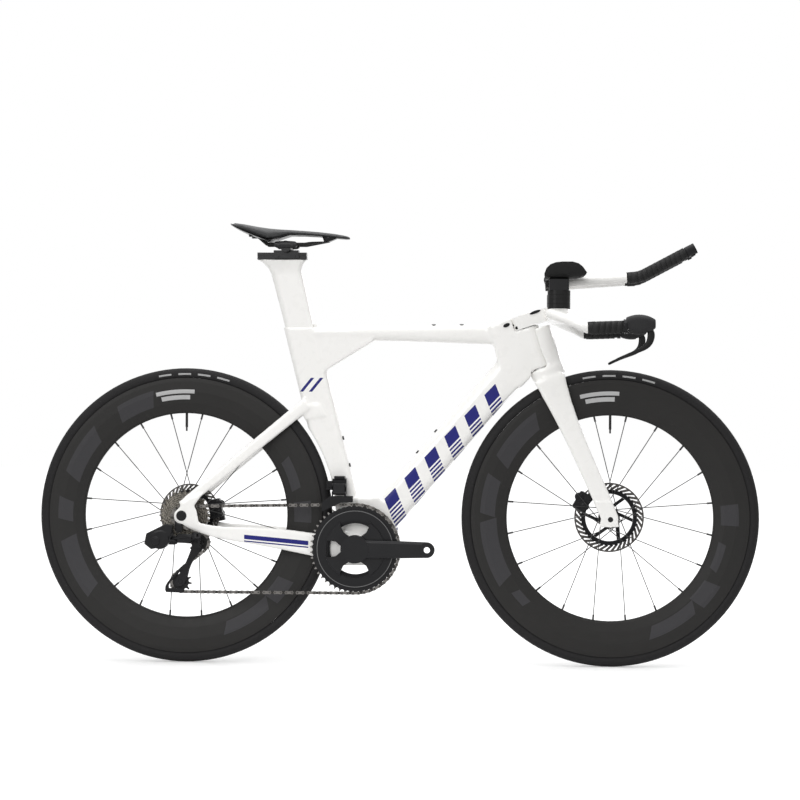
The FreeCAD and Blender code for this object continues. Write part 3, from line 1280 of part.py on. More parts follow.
def chainring(teeth, y, hole, phase):
    shape = toothed(teeth, size.ring_thickness, phase)
    shape = shape.cut(Part.makeCylinder(hole, size.ring_y, across * -size.ring_y / 2, across))
    half = size.ring_thickness / 2
    for _, spot in around_bolts():
        shape = shape.fuse(Part.makeCylinder(size.ring_tab, size.ring_thickness, spot - across * half,
                                             across))
    for _, spot in around_bolts():
        shape = shape.cut(Part.makeCylinder(size.bolt_radius, size.ring_y, spot - across * size.ring_y / 2,
                                            across))
    return shape.translated(across * -y)


def rings():
    outer = chainring(int(size.outer_teeth), size.ring_y, size.ring_hole,
                      phase_at(bracket, pitch_radius(int(size.outer_teeth))))
    cover = tube(size.ring_cover_outer, size.ring_hole + size.ring_tab / 3, -ring_outside - size.ring_cover,
                 -ring_outside)
    inner_y = size.ring_y - size.ring_step
    solids = [outer.fuse(cover).Solids[0],
              chainring(int(size.inner_teeth), inner_y, size.inner_ring_hole, 0).Solids[0]]
    for _, spot in around_bolts():
        shaft = Part.makeCylinder(size.bolt_radius,
                                  size.ring_step + size.spider_thick + 2 * size.ring_thickness,
                                  spot - across * (ring_outside + size.spider_thick), across)
        spacer = Part.makeCylinder(size.spacer_radius, size.ring_step - size.ring_thickness,
                                   spot - across * (size.ring_y - size.ring_thickness / 2), across)
        solids.append(shaft.fuse(spacer).removeSplitter().Solids[0])
    return Part.Compound([solid.translated(bracket) for solid in solids])


right_crank_shape = right_crank().translated(bracket)
node("right_crank", made("right_crank", right_crank_shape))
node("left_crank", made("left_crank", left_crank().translated(bracket)))
node("chainrings", made("chainrings", rings()))

# Rear derailleur: hanger, motor body, swing link, knuckle, sprung cage and two pulleys
sizes(hanger_back=6, hanger_down=28, hanger_radius=9, hanger_thick=7, knuckle_radius=11, knuckle_out=97,
      motor_width=16,
      motor_long=66, motor_tall=56, motor_y=89, motor_back=16, slant_angle=35, link_length=50,
      link_rest_angle=15,
      link_thick=7, link_eye=8, link_pin=2.5, lug_thick=4, lug_gap=0.4, body_pivot_back=13.5,
      body_pivot_below=53, body_pivot_y=86, lug_bar=16, cage_plate=1.5, cage_half=6.3, cage_end=11,
      pulley_thick=1.9,
      pulley_axle=3, cage_pivot_radius=6, barrel_radius=12, barrel_in=71.7, barrel_out=87)
hanger_end = rear_axle + Vector(-size.hanger_back, 0, -size.hanger_down)
hanger_low = -dropout_y - size.hanger_thick / 2
hanger = Part.makeCylinder(size.hanger_radius, size.hanger_thick, hanger_end + across * hanger_low, across)
hanger = hanger.fuse(Part.makeBox(2 * size.hanger_radius, size.hanger_thick, size.hanger_down,
                                  hanger_end + Vector(-size.hanger_radius, hanger_low, 0)))
hanger = biggest(hanger.cut(mirrored(left_chainstay)).cut(mirrored(left_seatstay)).cut(axle_hole))
slant = math.radians(size.slant_angle)
swing_axis = Vector(0, math.sin(slant), math.cos(slant))
swing_side = Vector(0, math.cos(slant), -math.sin(slant))
rest_lean = math.radians(-size.link_rest_angle)
link_way = forward * math.cos(rest_lean) + swing_side * math.sin(rest_lean)
body_pivot = rear_axle + Vector(-size.body_pivot_back, -size.body_pivot_y, -size.body_pivot_below)
knuckle_pivot = body_pivot + link_way * size.link_length
tilt_frame = Rotation(forward, swing_axis.cross(forward), swing_axis, "ZXY")


def slanted(shape, place):
    return shape.transformed(Placement(place, tilt_frame).toMatrix())


def lugs(place, bar_way):
    inside = size.link_thick / 2 + size.lug_gap
    reach = size.link_eye + size.lug_gap
    shape = None
    for low in (inside, -inside - size.lug_thick):
        disc = Part.makeCylinder(size.link_eye, size.lug_thick, upward * low)
        arm = Part.makeBox(reach + size.lug_thick, size.lug_bar, size.lug_thick,
                           Vector(0 if bar_way > 0 else -reach - size.lug_thick, -size.lug_bar / 2, low))
        shape = disc.fuse(arm) if shape is None else shape.fuse(disc).fuse(arm)
    wall = Part.makeBox(size.lug_thick, size.lug_bar, 2 * (inside + size.lug_thick),
                        Vector(reach if bar_way > 0 else -reach - size.lug_thick, -size.lug_bar / 2,
                               -inside - size.lug_thick))
    pin = Part.makeCylinder(size.link_pin, 2 * (inside + size.lug_thick), upward * (-inside - size.lug_thick))
    return slanted(shape.fuse(wall).fuse(pin), place)


def swing_link():
    length = size.link_length + 2 * size.link_eye
    middle = (body_pivot + knuckle_pivot) * 0.5
    low = middle - swing_axis * (size.link_thick / 2)
    bar = Part.Face(stadium(low, link_way, swing_axis.cross(link_way), length, 2 * size.link_eye))
    shape = bar.extrude(swing_axis * size.link_thick)
    for spot in (body_pivot, knuckle_pivot):
        shape = shape.cut(cylinder(size.link_pin + size.run_gap / 2, spot - swing_axis * size.link_thick,
                                   spot + swing_axis * size.link_thick))
    return shape.Solids[0]


motor_shares = ((0.1, 0.18), (-0.18, 0.2), (-0.83, -0.18), (-0.9, -0.6), (-0.66, -0.82), (-0.36, -0.75),
                (0.03, -0.2))
motor = prism([(hanger_end.x - size.motor_back + size.motor_long * x, hanger_end.z + size.motor_tall * z)
               for x, z in motor_shares], size.motor_width, -size.motor_y)
barrel = Part.makeCylinder(size.knuckle_radius, size.knuckle_out + hanger_low,
                           hanger_end - across * size.knuckle_out,
                           across)
derailleur_body = biggest(motor.fuse(barrel).fuse(lugs(body_pivot, -1)).removeSplitter())
node("rear_derailleur_body", made("rear_derailleur_body", Part.Compound([derailleur_body, hanger])))
node("rear_derailleur_link", made("rear_derailleur_link", swing_link()))
knuckle = Part.makeCylinder(size.barrel_radius, size.barrel_out - size.barrel_in,
                            guide_centre - across * size.barrel_out,
                            across)
bridge_low = Vector(knuckle_pivot.x + size.link_eye + size.lug_gap, knuckle_pivot.y - size.lug_bar / 2,
                    guide_centre.z - size.barrel_radius / 2)
bridge = Part.makeBox(size.lug_thick, size.lug_thick - size.barrel_out - bridge_low.y,
                      knuckle_pivot.z - bridge_low.z + size.lug_bar / 4, bridge_low)
knuckle_bore = Part.makeCylinder(size.cage_pivot_radius + size.run_gap / 2, size.barrel_radius,
                                 guide_centre - across * (size.barrel_in + size.barrel_radius), across)
knuckle_shape = knuckle.fuse(lugs(knuckle_pivot, 1)).fuse(bridge).cut(knuckle_bore)
node("rear_derailleur_knuckle", made("rear_derailleur_knuckle", biggest(knuckle_shape)))
cage_way = path.tension - guide_centre


def cage():
    shape = None
    for y in (-size.small_cog_y - size.cage_half, -size.small_cog_y + size.cage_half - size.cage_plate):
        wire = stadium((guide_centre + path.tension) * 0.5 + across * y, cage_way, across.cross(cage_way),
                       size.cage_length + 2 * size.cage_end, 2 * size.cage_end)
        side = Part.Face(wire).extrude(across * size.cage_plate)
        shape = side if shape is None else shape.fuse(side)
    low = -size.small_cog_y - size.cage_half
    for spot in (guide_centre, path.tension):
        shape = shape.fuse(Part.makeCylinder(size.pulley_axle, 2 * size.cage_half, spot + across * low,
                                             across))
    stub_low = size.cage_plate - size.barrel_in - size.barrel_radius
    return shape.fuse(Part.makeCylinder(size.cage_pivot_radius, low - stub_low,
                                        guide_centre + across * stub_low, across))


node("derailleur_cage", made("derailleur_cage", cage().Solids[0]))
for label, centre in (("guide_pulley", guide_centre), ("tension_pulley", path.tension)):
    teeth = int(size.pulley_teeth)
    wheel = toothed(teeth, size.pulley_thick, phase_at(centre, pitch_radius(teeth)))
    wheel = wheel.cut(Part.makeCylinder(size.pulley_axle + size.run_gap / 2, size.small_cog_y,
                                        across * -size.small_cog_y / 2, across))
    node(label, made(label, wheel.translated(centre + across * cog_middle).Solids[0]))

# Front derailleur: a body on the seat tube, a short link, and the cage round the chain
sizes(shifter_back=38, shifter_long=32, shifter_low_rise=124, shifter_tall=35, shifter_out=34,
      shifter_pivot_y=41,
      shifter_rise=145, shifter_fall=18, shifter_out_step=7, shifter_eye=4.2, shifter_pin=2, shifter_lug=3,
      guide_plate=1.5, guide_outer_y=57.2, guide_inner_y=39.8, guide_back=76, guide_long=70,
      guide_low_rise=85,
      guide_tall=35)
shift_pivot = bracket + Vector(-size.shifter_back, -size.shifter_pivot_y, size.shifter_rise)
guide_pivot = shift_pivot + Vector(0, -size.shifter_out_step, -size.shifter_fall)
guide_low = bracket.z + size.guide_low_rise
guide_high = guide_low + size.guide_tall
shift_half = size.shifter_long / 2


def x_bar(spot, radius, half):
    return cylinder(radius, spot - forward * half, spot + forward * half)


def ears(spot, toward):
    inner = shift_half - size.shifter_lug
    shape = x_bar(spot, size.shifter_pin, shift_half)
    for way in (-1, 1):
        base = spot + forward * way * (inner + size.shifter_lug / 2)
        shape = shape.fuse(x_bar(base, size.shifter_eye, size.shifter_lug / 2))
        shape = shape.fuse(centred_box((size.shifter_lug, abs(toward.y) + size.shifter_eye,
                                        abs(toward.z) + size.shifter_eye),
                                       base + toward * 0.5))
    return shape


shifter_box = Part.makeBox(size.shifter_long, size.shifter_out, size.shifter_tall,
                           Vector(shift_pivot.x - shift_half, -size.shifter_out,
                                  bracket.z + size.shifter_low_rise))
shifter_ears = ears(shift_pivot, Vector(0, size.shifter_pivot_y - size.shifter_out + size.shifter_eye, 0))
shifter_body = biggest(shifter_box.cut(frame_shape).fuse(shifter_ears))
shifter_body = biggest(shifter_body.cut(frame_shape))
node("front_derailleur_body", made("front_derailleur_body", shifter_body))
link_inner = shift_half - size.shifter_lug - size.lug_gap
link_wire = stadium((shift_pivot + guide_pivot) * 0.5 - forward * link_inner, guide_pivot - shift_pivot,
                    forward.cross(guide_pivot - shift_pivot),
                    (guide_pivot - shift_pivot).Length + 2 * size.shifter_eye,
                    2 * size.shifter_eye)
shift_link = Part.Face(link_wire).extrude(forward * (2 * link_inner))
for spot in (shift_pivot, guide_pivot):
    shift_link = shift_link.cut(x_bar(spot, size.shifter_pin + size.run_gap / 2, 2 * shift_half))
node("front_derailleur_link", made("front_derailleur_link", shift_link.Solids[0]))
guide_shares = ((0, 0), (0.62, 0.58), (1, 0.62), (1, 1), (0.26, 1), (0, 0.6))
guide_points = [(bracket.x - size.guide_back + size.guide_long * x, between(guide_low, guide_high, z))
                for x, z in guide_shares]
guide_cage = prism(guide_points, size.guide_plate, -size.guide_outer_y + size.guide_plate / 2)
guide_cage = guide_cage.fuse(prism(guide_points, size.guide_plate,
                                   -size.guide_inner_y - size.guide_plate / 2))
guide_roof = Part.makeBox(2 * shift_half, size.guide_outer_y - size.guide_inner_y, size.guide_plate,
                          Vector(guide_pivot.x - shift_half, -size.guide_outer_y,
                                 guide_high - size.guide_plate))
guide_ears = ears(guide_pivot, Vector(0, 0, guide_high - guide_pivot.z))
node("front_derailleur_cage",
     made("front_derailleur_cage", biggest(guide_cage.fuse(guide_roof).fuse(guide_ears))))

doc.recompute()
for thing in doc.Objects:
    if "Invalid" in thing.State or "Error" in thing.State:
        raise RuntimeError(f"{thing.Name} failed: {thing.State}")
for label, thing in nodes.items():
    if thing.Shape.isNull() or not thing.Shape.isValid():
        raise RuntimeError(f"{label} has no valid shape")
os.makedirs("parts", exist_ok=True)
for label, thing in nodes.items():
    thing.Shape.exportStep(f"parts/{label}.step")
print(len(nodes), "nodes")
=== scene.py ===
import math
import bpy
import bmesh
from mathutils import Matrix, Vector
from mathutils.bvhtree import BVHTree


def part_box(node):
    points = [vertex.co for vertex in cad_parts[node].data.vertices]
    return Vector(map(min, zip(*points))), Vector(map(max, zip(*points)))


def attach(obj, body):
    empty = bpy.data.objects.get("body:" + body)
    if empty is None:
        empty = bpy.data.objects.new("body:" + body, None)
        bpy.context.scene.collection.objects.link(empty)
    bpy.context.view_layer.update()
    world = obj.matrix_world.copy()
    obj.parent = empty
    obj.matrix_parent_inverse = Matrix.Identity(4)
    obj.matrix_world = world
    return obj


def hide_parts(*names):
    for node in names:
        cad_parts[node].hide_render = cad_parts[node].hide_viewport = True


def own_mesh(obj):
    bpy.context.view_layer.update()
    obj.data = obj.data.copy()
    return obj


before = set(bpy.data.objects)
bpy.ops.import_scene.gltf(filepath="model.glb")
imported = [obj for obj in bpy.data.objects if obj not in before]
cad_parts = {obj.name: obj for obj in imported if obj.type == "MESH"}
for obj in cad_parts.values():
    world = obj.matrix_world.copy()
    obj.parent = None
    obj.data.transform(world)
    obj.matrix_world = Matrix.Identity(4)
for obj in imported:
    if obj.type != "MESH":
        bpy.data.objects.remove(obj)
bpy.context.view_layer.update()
scene = bpy.context.scene
scene.view_settings.view_transform = "Standard"
axles = {"front": Vector((0.4875, 0, 0.339)), "rear": Vector((-0.4875, 0, 0.339))}
bracket = Vector((-0.092, 0, 0.267))
sides = {"left": 1, "right": -1}
barHalf = 0.2  # from the middle plane to the grips


# Shader maths: a socket that adds Math nodes when it is used in an expression
class Sock:
    def __init__(self, tree, out):
        self.tree = tree
        self.out = out

    def add(self, kind, settings, sockets, take=0):
        node = self.tree.nodes.new(kind)
        for name, value in settings.items():
            setattr(node, name, value)
        for name, value in sockets.items():
            if isinstance(value, Sock):
                self.tree.links.new(value.out, node.inputs[name])
            else:
                node.inputs[name].default_value = value
        return Sock(self.tree, node.outputs[take])

    def sums(self, operation, *values):
        return self.add("ShaderNodeMath", {"operation": operation}, dict(enumerate(values)))

    def __add__(self, other):
        return self.sums("ADD", self, other)

    def __sub__(self, other):
        return self.sums("SUBTRACT", self, other)

    def __rsub__(self, other):
        return self.sums("SUBTRACT", other, self)

    def __mul__(self, other):
        return self.sums("MULTIPLY", self, other)

    def __mod__(self, other):
        return self.sums("FLOORED_MODULO", self, other)

    def __gt__(self, other):
        return self.sums("GREATER_THAN", self, other)

    def __lt__(self, other):
        return self.sums("LESS_THAN", self, other)

    def __abs__(self):
        return self.sums("ABSOLUTE", self)

    def root(self):
        return self.sums("SQRT", self)

    def axes(self):
        outs = self.add("ShaderNodeSeparateXYZ", {}, {0: self}).out.node.outputs
        return [Sock(self.tree, out) for out in outs]

    def noise(self, scale, detail=2):
        return self.add("ShaderNodeTexNoise", {}, {"Vector": self, "Scale": scale, "Detail": detail})

    def cells(self, scale):
        return self.add("ShaderNodeTexVoronoi", {}, {"Vector": self, "Scale": scale})

    def mix(self, first, second):
        return self.add("ShaderNodeMix", {"data_type": "RGBA"}, {0: self, 6: first, 7: second}, 2)

    def bump(self, strength, distance):
        return self.add("ShaderNodeBump", {}, {"Height": self, "Strength": strength, "Distance": distance})


def tone(red, green, blue):
    return (red, green, blue, 1)


def grey(level):
    return tone(level, level, level)


def newFinish(name, constants):
    material = bpy.data.materials.new(name)
    material.use_nodes = True
    tree = material.node_tree
    shader = tree.nodes["Principled BSDF"]
    for socket, value in constants.items():
        shader.inputs[socket].default_value = value
    place = Sock(tree, tree.nodes.new("ShaderNodeTexCoord").outputs["Object"])
    return material, shader, place


def feed(shader, sockets):
    for name, value in sockets.items():
        value.tree.links.new(value.out, shader.inputs[name])


def dressed(material, shader, colour, rough, normal):
    feed(shader, {"Base Color": colour, "Roughness": rough, "Normal": normal})
    return material


def within(value, low, high):
    return (value > low) * (value < high)


def spread(pattern, middle, width):  # a value that varies about its middle
    return pattern * width + (middle - width / 2)


def polar(place, axle):  # radius and angle about an axle that lies along y
    x, y, z = place.axes()
    dx = x - axle.x
    dz = z - axle.z
    return (dx * dx + dz * dz).root(), dz.sums("ARCTAN2", dz, dx)


# Paint of the frame, fork, bars and post: pearl white under a clear coat, with plain blue stripes
pearl = {"light": tone(0.955, 0.945, 0.920), "shade": tone(0.946, 0.936, 0.911), "blue": tone(0.012, 0.014, 0.165),
         "black": grey(0.012), "coat": 0.7, "coatRough": 0.06, "specular": 0.25, "flake": 2600,
         "flakeShare": 0.6, "cloud": 9, "roughGrain": 60, "rough": (0.28, 0.08), "stripeRough": 0.06, "peel": 700,
         "bump": (0.012, 0.0003), "blackTo": 0.347}


def pearlPaint(name, stripes=None, stripeTone="blue"):
    material, shader, place = newFinish(name, {"Coat Weight": pearl["coat"], "Coat Roughness": pearl["coatRough"],
                                               "Specular IOR Level": pearl["specular"]})
    cloud = place.noise(pearl["cloud"], 3)
    flake = place.cells(pearl["flake"]) * pearl["flakeShare"] + cloud * (1 - pearl["flakeShare"])
    colour = flake.mix(pearl["light"], pearl["shade"])
    rough = spread(place.noise(pearl["roughGrain"], 3), *pearl["rough"])
    if stripes:
        mask = stripes(place)
        colour = mask.mix(colour, pearl[stripeTone])
        rough = rough + mask * pearl["stripeRough"]
        feed(shader, {"Coat Weight": (1 - mask) * pearl["coat"]})  # the stripes lie over the coat
    return dressed(material, shader, colour, rough, place.noise(pearl["peel"]).bump(*pearl["bump"]))


tube = {"start": (-0.012, 0.330), "end": (0.272, 0.628), "first": 0.005, "pitch": 0.066, "width": 0.036,
        "slant": 0.45, "count": 6, "top": -0.046, "solid": -0.020, "bottom": 0.026, "line": 0.0074,
        "gap": 0.45}
seatMark = {"centre": (-0.1970, 0.641), "span": (-0.235, -0.165), "tall": 0.016, "lean": (0.62, 0.5),
            "band": (0.004, 0.009)}
stays = {"slope": -0.10, "bands": [(0.2535, 0.2635), (0.2475, 0.2505)], "span": (-0.345, -0.200)}


def frameStripes(place):
    x, y, z = place.axes()
    run = (Vector(tube["end"]) - Vector(tube["start"])).normalized()
    ahead = x - tube["start"][0]
    above = z - tube["start"][1]
    along = ahead * run.x + above * run.y - tube["first"]
    down = ahead * run.y - above * run.x
    slanted = along + down * tube["slant"]
    slab = within(slanted, 0, tube["pitch"] * tube["count"])
    slab = slab * ((slanted % tube["pitch"]) < tube["width"])
    lines = ((down - tube["solid"]) % tube["line"]) > tube["line"] * tube["gap"]
    face = within(down, tube["top"], tube["solid"])
    face = face + within(down, tube["solid"], tube["bottom"]) * lines
    rise = z - seatMark["centre"][1]
    lean = abs((x - seatMark["centre"][0]) * seatMark["lean"][0] - rise * seatMark["lean"][1])
    seat = (abs(rise) < seatMark["tall"]) * within(lean, *seatMark["band"]) * within(x, *seatMark["span"])
    level = z - x * stays["slope"]
    stay = within(level, *stays["bands"][0]) + within(level, *stays["bands"][1])
    facing = Sock(place.tree, place.out.node.outputs["Normal"]).axes()[1]
    stay = stay * within(x, *stays["span"]) * (facing * y > 0)  # outer faces only
    return (slab * face + seat + stay) > 0.5


def rearEnd(place):
    return place.axes()[0] < pearl["blackTo"]


# Carbon rims: dark weave under matte lacquer, tone on tone slanted blocks and two pale bars at the top
rim = {"dark": tone(0.017, 0.0165, 0.0160), "weave": tone(0.025, 0.024, 0.023),
       "block": tone(0.043, 0.042, 0.045), "pale": grey(0.50), "specular": 0.16, "weaveScale": 160,
       "cloud": 30, "middle": 0.275, "bars": [((86, 104), (0.281, 0.290)), ((88, 102), (0.267, 0.277))],
       "roughGrain": 80, "rough": (0.45, 0.14), "bump": (0.05, 0.0003)}
# Each block has a middle and half angle, an inner and outer radius, and a slant
rimBlocks = {
    "front": [(170, 9, 0.262, 0.296, 60), (196, 15, 0.258, 0.296, -60), (140, 13, 0.258, 0.296, 90),
              (222, 4, 0.262, 0.282, 60), (-20, 7, 0.252, 0.270, 60)],
    "rear": [(150, 12, 0.258, 0.296, 90), (178, 5, 0.262, 0.296, 60), (205, 14, 0.258, 0.296, -60),
             (115, 9, 0.258, 0.296, 60), (22, 8, 0.252, 0.275, -60)],
    "both": [(-38, 6, 0.256, 0.294, -40), (-58, 12, 0.262, 0.290, 120), (2, 5, 0.252, 0.292, 0)]}


def carbonRim(name, axle, blocks):
    material, shader, place = newFinish(name, {"Specular IOR Level": rim["specular"]})
    radius, turn = polar(place, axle)
    angle = turn * math.degrees(1)
    weave = place.add("ShaderNodeTexWave", {"bands_direction": "DIAGONAL"},
                      {"Vector": place, "Scale": rim["weaveScale"]})
    colour = (weave * 0.5 + place.noise(rim["cloud"], 3) * 0.5).mix(rim["dark"], rim["weave"])
    for centre, half, low, high, slant in blocks:
        lean = (angle - centre + 540) % 360 - 180 + (radius - rim["middle"]) * slant
        spot = within(lean, -half, half) * within(radius, low, high)
        colour = spot.mix(colour, rim["block"])
    for turns, reach in rim["bars"]:
        colour = (within(angle, *turns) * within(radius, *reach)).mix(colour, rim["pale"])
    rough = spread(place.noise(rim["roughGrain"]), *rim["rough"])
    return dressed(material, shader, colour, rough, weave.bump(*rim["bump"]))


# Tyres: fine ribbed tread in the middle, plain sidewalls with one slim dashed line at the top
tyre = {"tread": tone(0.014, 0.014, 0.015), "wall": tone(0.022, 0.021, 0.021), "line": grey(0.40),
        "specular": 0.14, "cloud": 160, "crown": 0.331, "lineReach": (0.3235, 0.3275), "lineTurn": (72, 104),
        "dashPitch": 8, "dash": 5.2, "ribs": 2.4, "ribSlant": 900, "ribGap": 0.35, "grain": 900,
        "grainShare": 0.4, "roughGrain": 50, "rough": (0.66, 0.16), "bump": (0.16, 0.0006)}


def tyreRubber(name, axle):
    material, shader, place = newFinish(name, {"Specular IOR Level": tyre["specular"]})
    radius, turn = polar(place, axle)
    angle = turn * math.degrees(1)
    colour = place.noise(tyre["cloud"], 3).mix(tyre["wall"], tyre["tread"])
    line = within(radius, *tyre["lineReach"]) * within(angle, *tyre["lineTurn"])
    line = line * ((angle % tyre["dashPitch"]) < tyre["dash"])
    ribs = (angle * tyre["ribs"] + abs(place.axes()[1]) * tyre["ribSlant"]) % 1.0
    height = (radius > tyre["crown"]) * (ribs > tyre["ribGap"])
    height = height + place.noise(tyre["grain"]) * tyre["grainShare"]
    rough = spread(place.noise(tyre["roughGrain"]), *tyre["rough"])
    return dressed(material, shader, line.mix(colour, tyre["line"]), rough, height.bump(*tyre["bump"]))


# Metals, hard plastics and soft goods: a fine grain over a wide cloud
grainLooks = {
    "metal": {"fixed": {"Specular IOR Level": 0.15, "Coat Roughness": 0.12}, "cloud": (26, 3), "share": 0.35,
              "roughWidth": 0.16, "bump": 0.0002},
    "plastic": {"fixed": {"Specular IOR Level": 0.13}, "cloud": (34, 2), "share": 0, "roughWidth": 0.14,
                "bump": 0.0002},
    "skin": {"fixed": {"Specular IOR Level": 0.18, "Sheen Roughness": 0.5}, "cloud": (40, 3), "share": 0.4,
             "roughWidth": 0.12, "bump": 0.0004}}


def grained(name, kind, dark, light, rough, grain, depth, fixed):
    look = grainLooks[kind]
    material, shader, place = newFinish(name, {**look["fixed"], **fixed})
    fine = place.cells(grain) if kind == "skin" else place.noise(grain)
    wide = place.noise(*look["cloud"])
    colour = (fine * look["share"] + wide * (1 - look["share"])).mix(dark, light)
    rough = spread(fine if kind == "plastic" else wide, rough, look["roughWidth"])
    return dressed(material, shader, colour, rough, fine.bump(depth, look["bump"]))


def satinMetal(name, dark, light, rough, metallic, grain=700, coat=0.0):
    fixed = {"Metallic": metallic, "Coat Weight": coat}
    return grained(name, "metal", dark, light, rough, grain, 0.05, fixed)


def mouldedPlastic(name, dark, light, rough, grain=1400, depth=0.12):
    return grained(name, "plastic", dark, light, rough, grain, depth, {})


def softSkin(name, dark, light, rough, pores, depth, sheen=0.0):
    return grained(name, "skin", dark, light, rough, pores, depth, {"Sheen Weight": sheen})


# Metal and plastic parts with marks: rings with a painted highlight band, cogs with painted shade in the gaps between
# their teeth, risers and bolts
ring = {"grain": 2400, "grainShare": 0.25, "groove": (0.0125, 0.0112), "grooveTone": grey(0.16),
        "scuff": grey(0.02), "roughWidth": 0.2, "bump": (0.06, 0.0002)}
cog = {"metallic": 0.95, "rowPitch": 0.0046, "rowWide": 0.0021, "holes": 105, "skew": 400, "gapWide": 0.6,
       "cloud": 260, "contrast": 1.5, "shift": 0.35, "gapShade": 0.45, "rough": (0.34, 0.2),
       "bump": (0.2, 0.0004)}
riser = {"specular": 0.15, "base": 0.813, "pitch": 0.0103, "seam": 0.0012, "seamShade": 0.5, "grain": 900,
         "grainShare": 0.1, "rough": (0.34, 0.12), "seamRough": 0.3, "bump": (0.4, 0.0008)}
# Frame bolts: black on the lower tubes, grey on the top tube, and a painted wedge before the post
bolt = {"low": grey(0.007), "top": grey(0.20), "topFrom": 0.750, "wedgeTo": -0.170,
        "specular": 0.3, "grain": 900, "rough": (0.32, 0.14), "bump": (0.04, 0.0002)}


def ringMetal(name, axle, edge, inside, outside, rough, metallic):
    material, shader, place = newFinish(name, {"Metallic": metallic})
    radius = polar(place, axle)[0]
    brushed = radius.add("ShaderNodeTexNoise", {"noise_dimensions": "1D"}, {"W": radius, "Scale": ring["grain"]})
    colour = (radius > edge).mix(inside, outside)
    # a thin lighter band just inside the edge: a painted highlight
    groove = within(radius, *(edge - depth for depth in ring["groove"]))
    colour = groove.mix(colour, ring["grooveTone"])
    colour = (brushed * ring["grainShare"]).mix(colour, ring["scuff"])
    rough = spread(brushed, rough, ring["roughWidth"])
    return dressed(material, shader, colour, rough, brushed.bump(*ring["bump"]))


def cogNickel(name, axle, dark, light):
    material, shader, place = newFinish(name, {"Metallic": cog["metallic"]})
    radius, angle = polar(place, axle)
    # rows of dark dots: painted shade in the gaps between the teeth
    row = (radius % cog["rowPitch"]) < cog["rowWide"]
    holes = row * (((angle * radius * cog["holes"] + radius * cog["skew"]) % 1.0) < cog["gapWide"])
    worn = place.noise(cog["cloud"], 3)
    colour = (worn * cog["contrast"] - cog["shift"] - holes * cog["gapShade"]).mix(dark, light)
    return dressed(material, shader, colour, spread(worn, *cog["rough"]), (worn - holes).bump(*cog["bump"]))


def riserStack(name, dark, light):
    material, shader, place = newFinish(name, {"Specular IOR Level": riser["specular"]})
    seam = ((place.axes()[2] - riser["base"]) % riser["pitch"]) < riser["seam"]
    speck = place.noise(riser["grain"])
    colour = (speck - seam * riser["seamShade"]).mix(dark, light)
    rough = spread(speck, *riser["rough"]) + seam * riser["seamRough"]
    return dressed(material, shader, colour, rough, (speck * riser["grainShare"] - seam).bump(*riser["bump"]))


def boltMetal(name):
    material, shader, place = newFinish(name, {"Specular IOR Level": bolt["specular"]})
    x, y, z = place.axes()
    grain = place.noise(bolt["grain"])
    top = z > bolt["topFrom"]
    colour = top.mix(bolt["low"], bolt["top"])
    colour = (top * (x < bolt["wedgeTo"])).mix(colour, pearl["light"])
    return dressed(material, shader, colour, spread(grain, *bolt["rough"]), grain.bump(*bolt["bump"]))


black = tone(0.010, 0.010, 0.011)
soot = tone(0.022, 0.022, 0.023)
finishes = {
    "pearl": pearlPaint("pearlPaint"),
    "frame": pearlPaint("pearlFrame", frameStripes),
    "reach": pearlPaint("pearlReach", rearEnd, "black"),
    "spoke": satinMetal("spokeSteel", grey(0.03), grey(0.06), 0.35, 0.9),
    "alloy": satinMetal("blackAlloy", black, soot, 0.32, 0.15, coat=0.08),
    "crank": satinMetal("crankAlloy", tone(0.006, 0.006, 0.007), tone(0.012, 0.012, 0.013), 0.34, 0.1, coat=0.12),
    "rings": ringMetal("ringAlloy", bracket, 0.0985, tone(0.012, 0.012, 0.013), tone(0.22, 0.21, 0.20), 0.38, 0.8),
    "chain": satinMetal("chainSteel", tone(0.02, 0.019, 0.018), tone(0.05, 0.048, 0.045), 0.36, 0.9, 300),
    "chainOuter": satinMetal("chainOuterSteel", tone(0.10, 0.095, 0.09), tone(0.20, 0.19, 0.18), 0.34, 0.9, 300),
    "cassette": cogNickel("cogNickel", axles["rear"], tone(0.012, 0.011, 0.010), tone(0.40, 0.37, 0.32)),
    "bolt": boltMetal("boltMetal"),
    "steel": satinMetal("plainSteel", grey(0.35), grey(0.50), 0.30, 1.0),
    "gloss": mouldedPlastic("glossPlastic", black, tone(0.018, 0.018, 0.019), 0.24, 600, 0.03),
    "matte": mouldedPlastic("mattePlastic", grey(0.012), grey(0.02), 0.5),
    "riser": riserStack("riserPlastic", grey(0.008), grey(0.016)),
    "saddle": softSkin("saddleSkin", tone(0.045, 0.046, 0.047), tone(0.075, 0.076, 0.078), 0.48, 1500, 0.10, 0.1),
    "pad": softSkin("padFabric", grey(0.010), grey(0.020), 0.72, 900, 0.25, 0.3),
    "tape": softSkin("gripTape", grey(0.012), grey(0.024), 0.62, 1100, 0.3),
    "hood": softSkin("hoodRubber", tone(0.014, 0.014, 0.015), tone(0.024, 0.024, 0.025), 0.5, 1300, 0.12),
    "lever": satinMetal("leverAlloy", grey(0.008), grey(0.016), 0.4, 0.1),
    "padStone": mouldedPlastic("brakeCompound", tone(0.03, 0.028, 0.026), tone(0.06, 0.055, 0.05), 0.8),
}
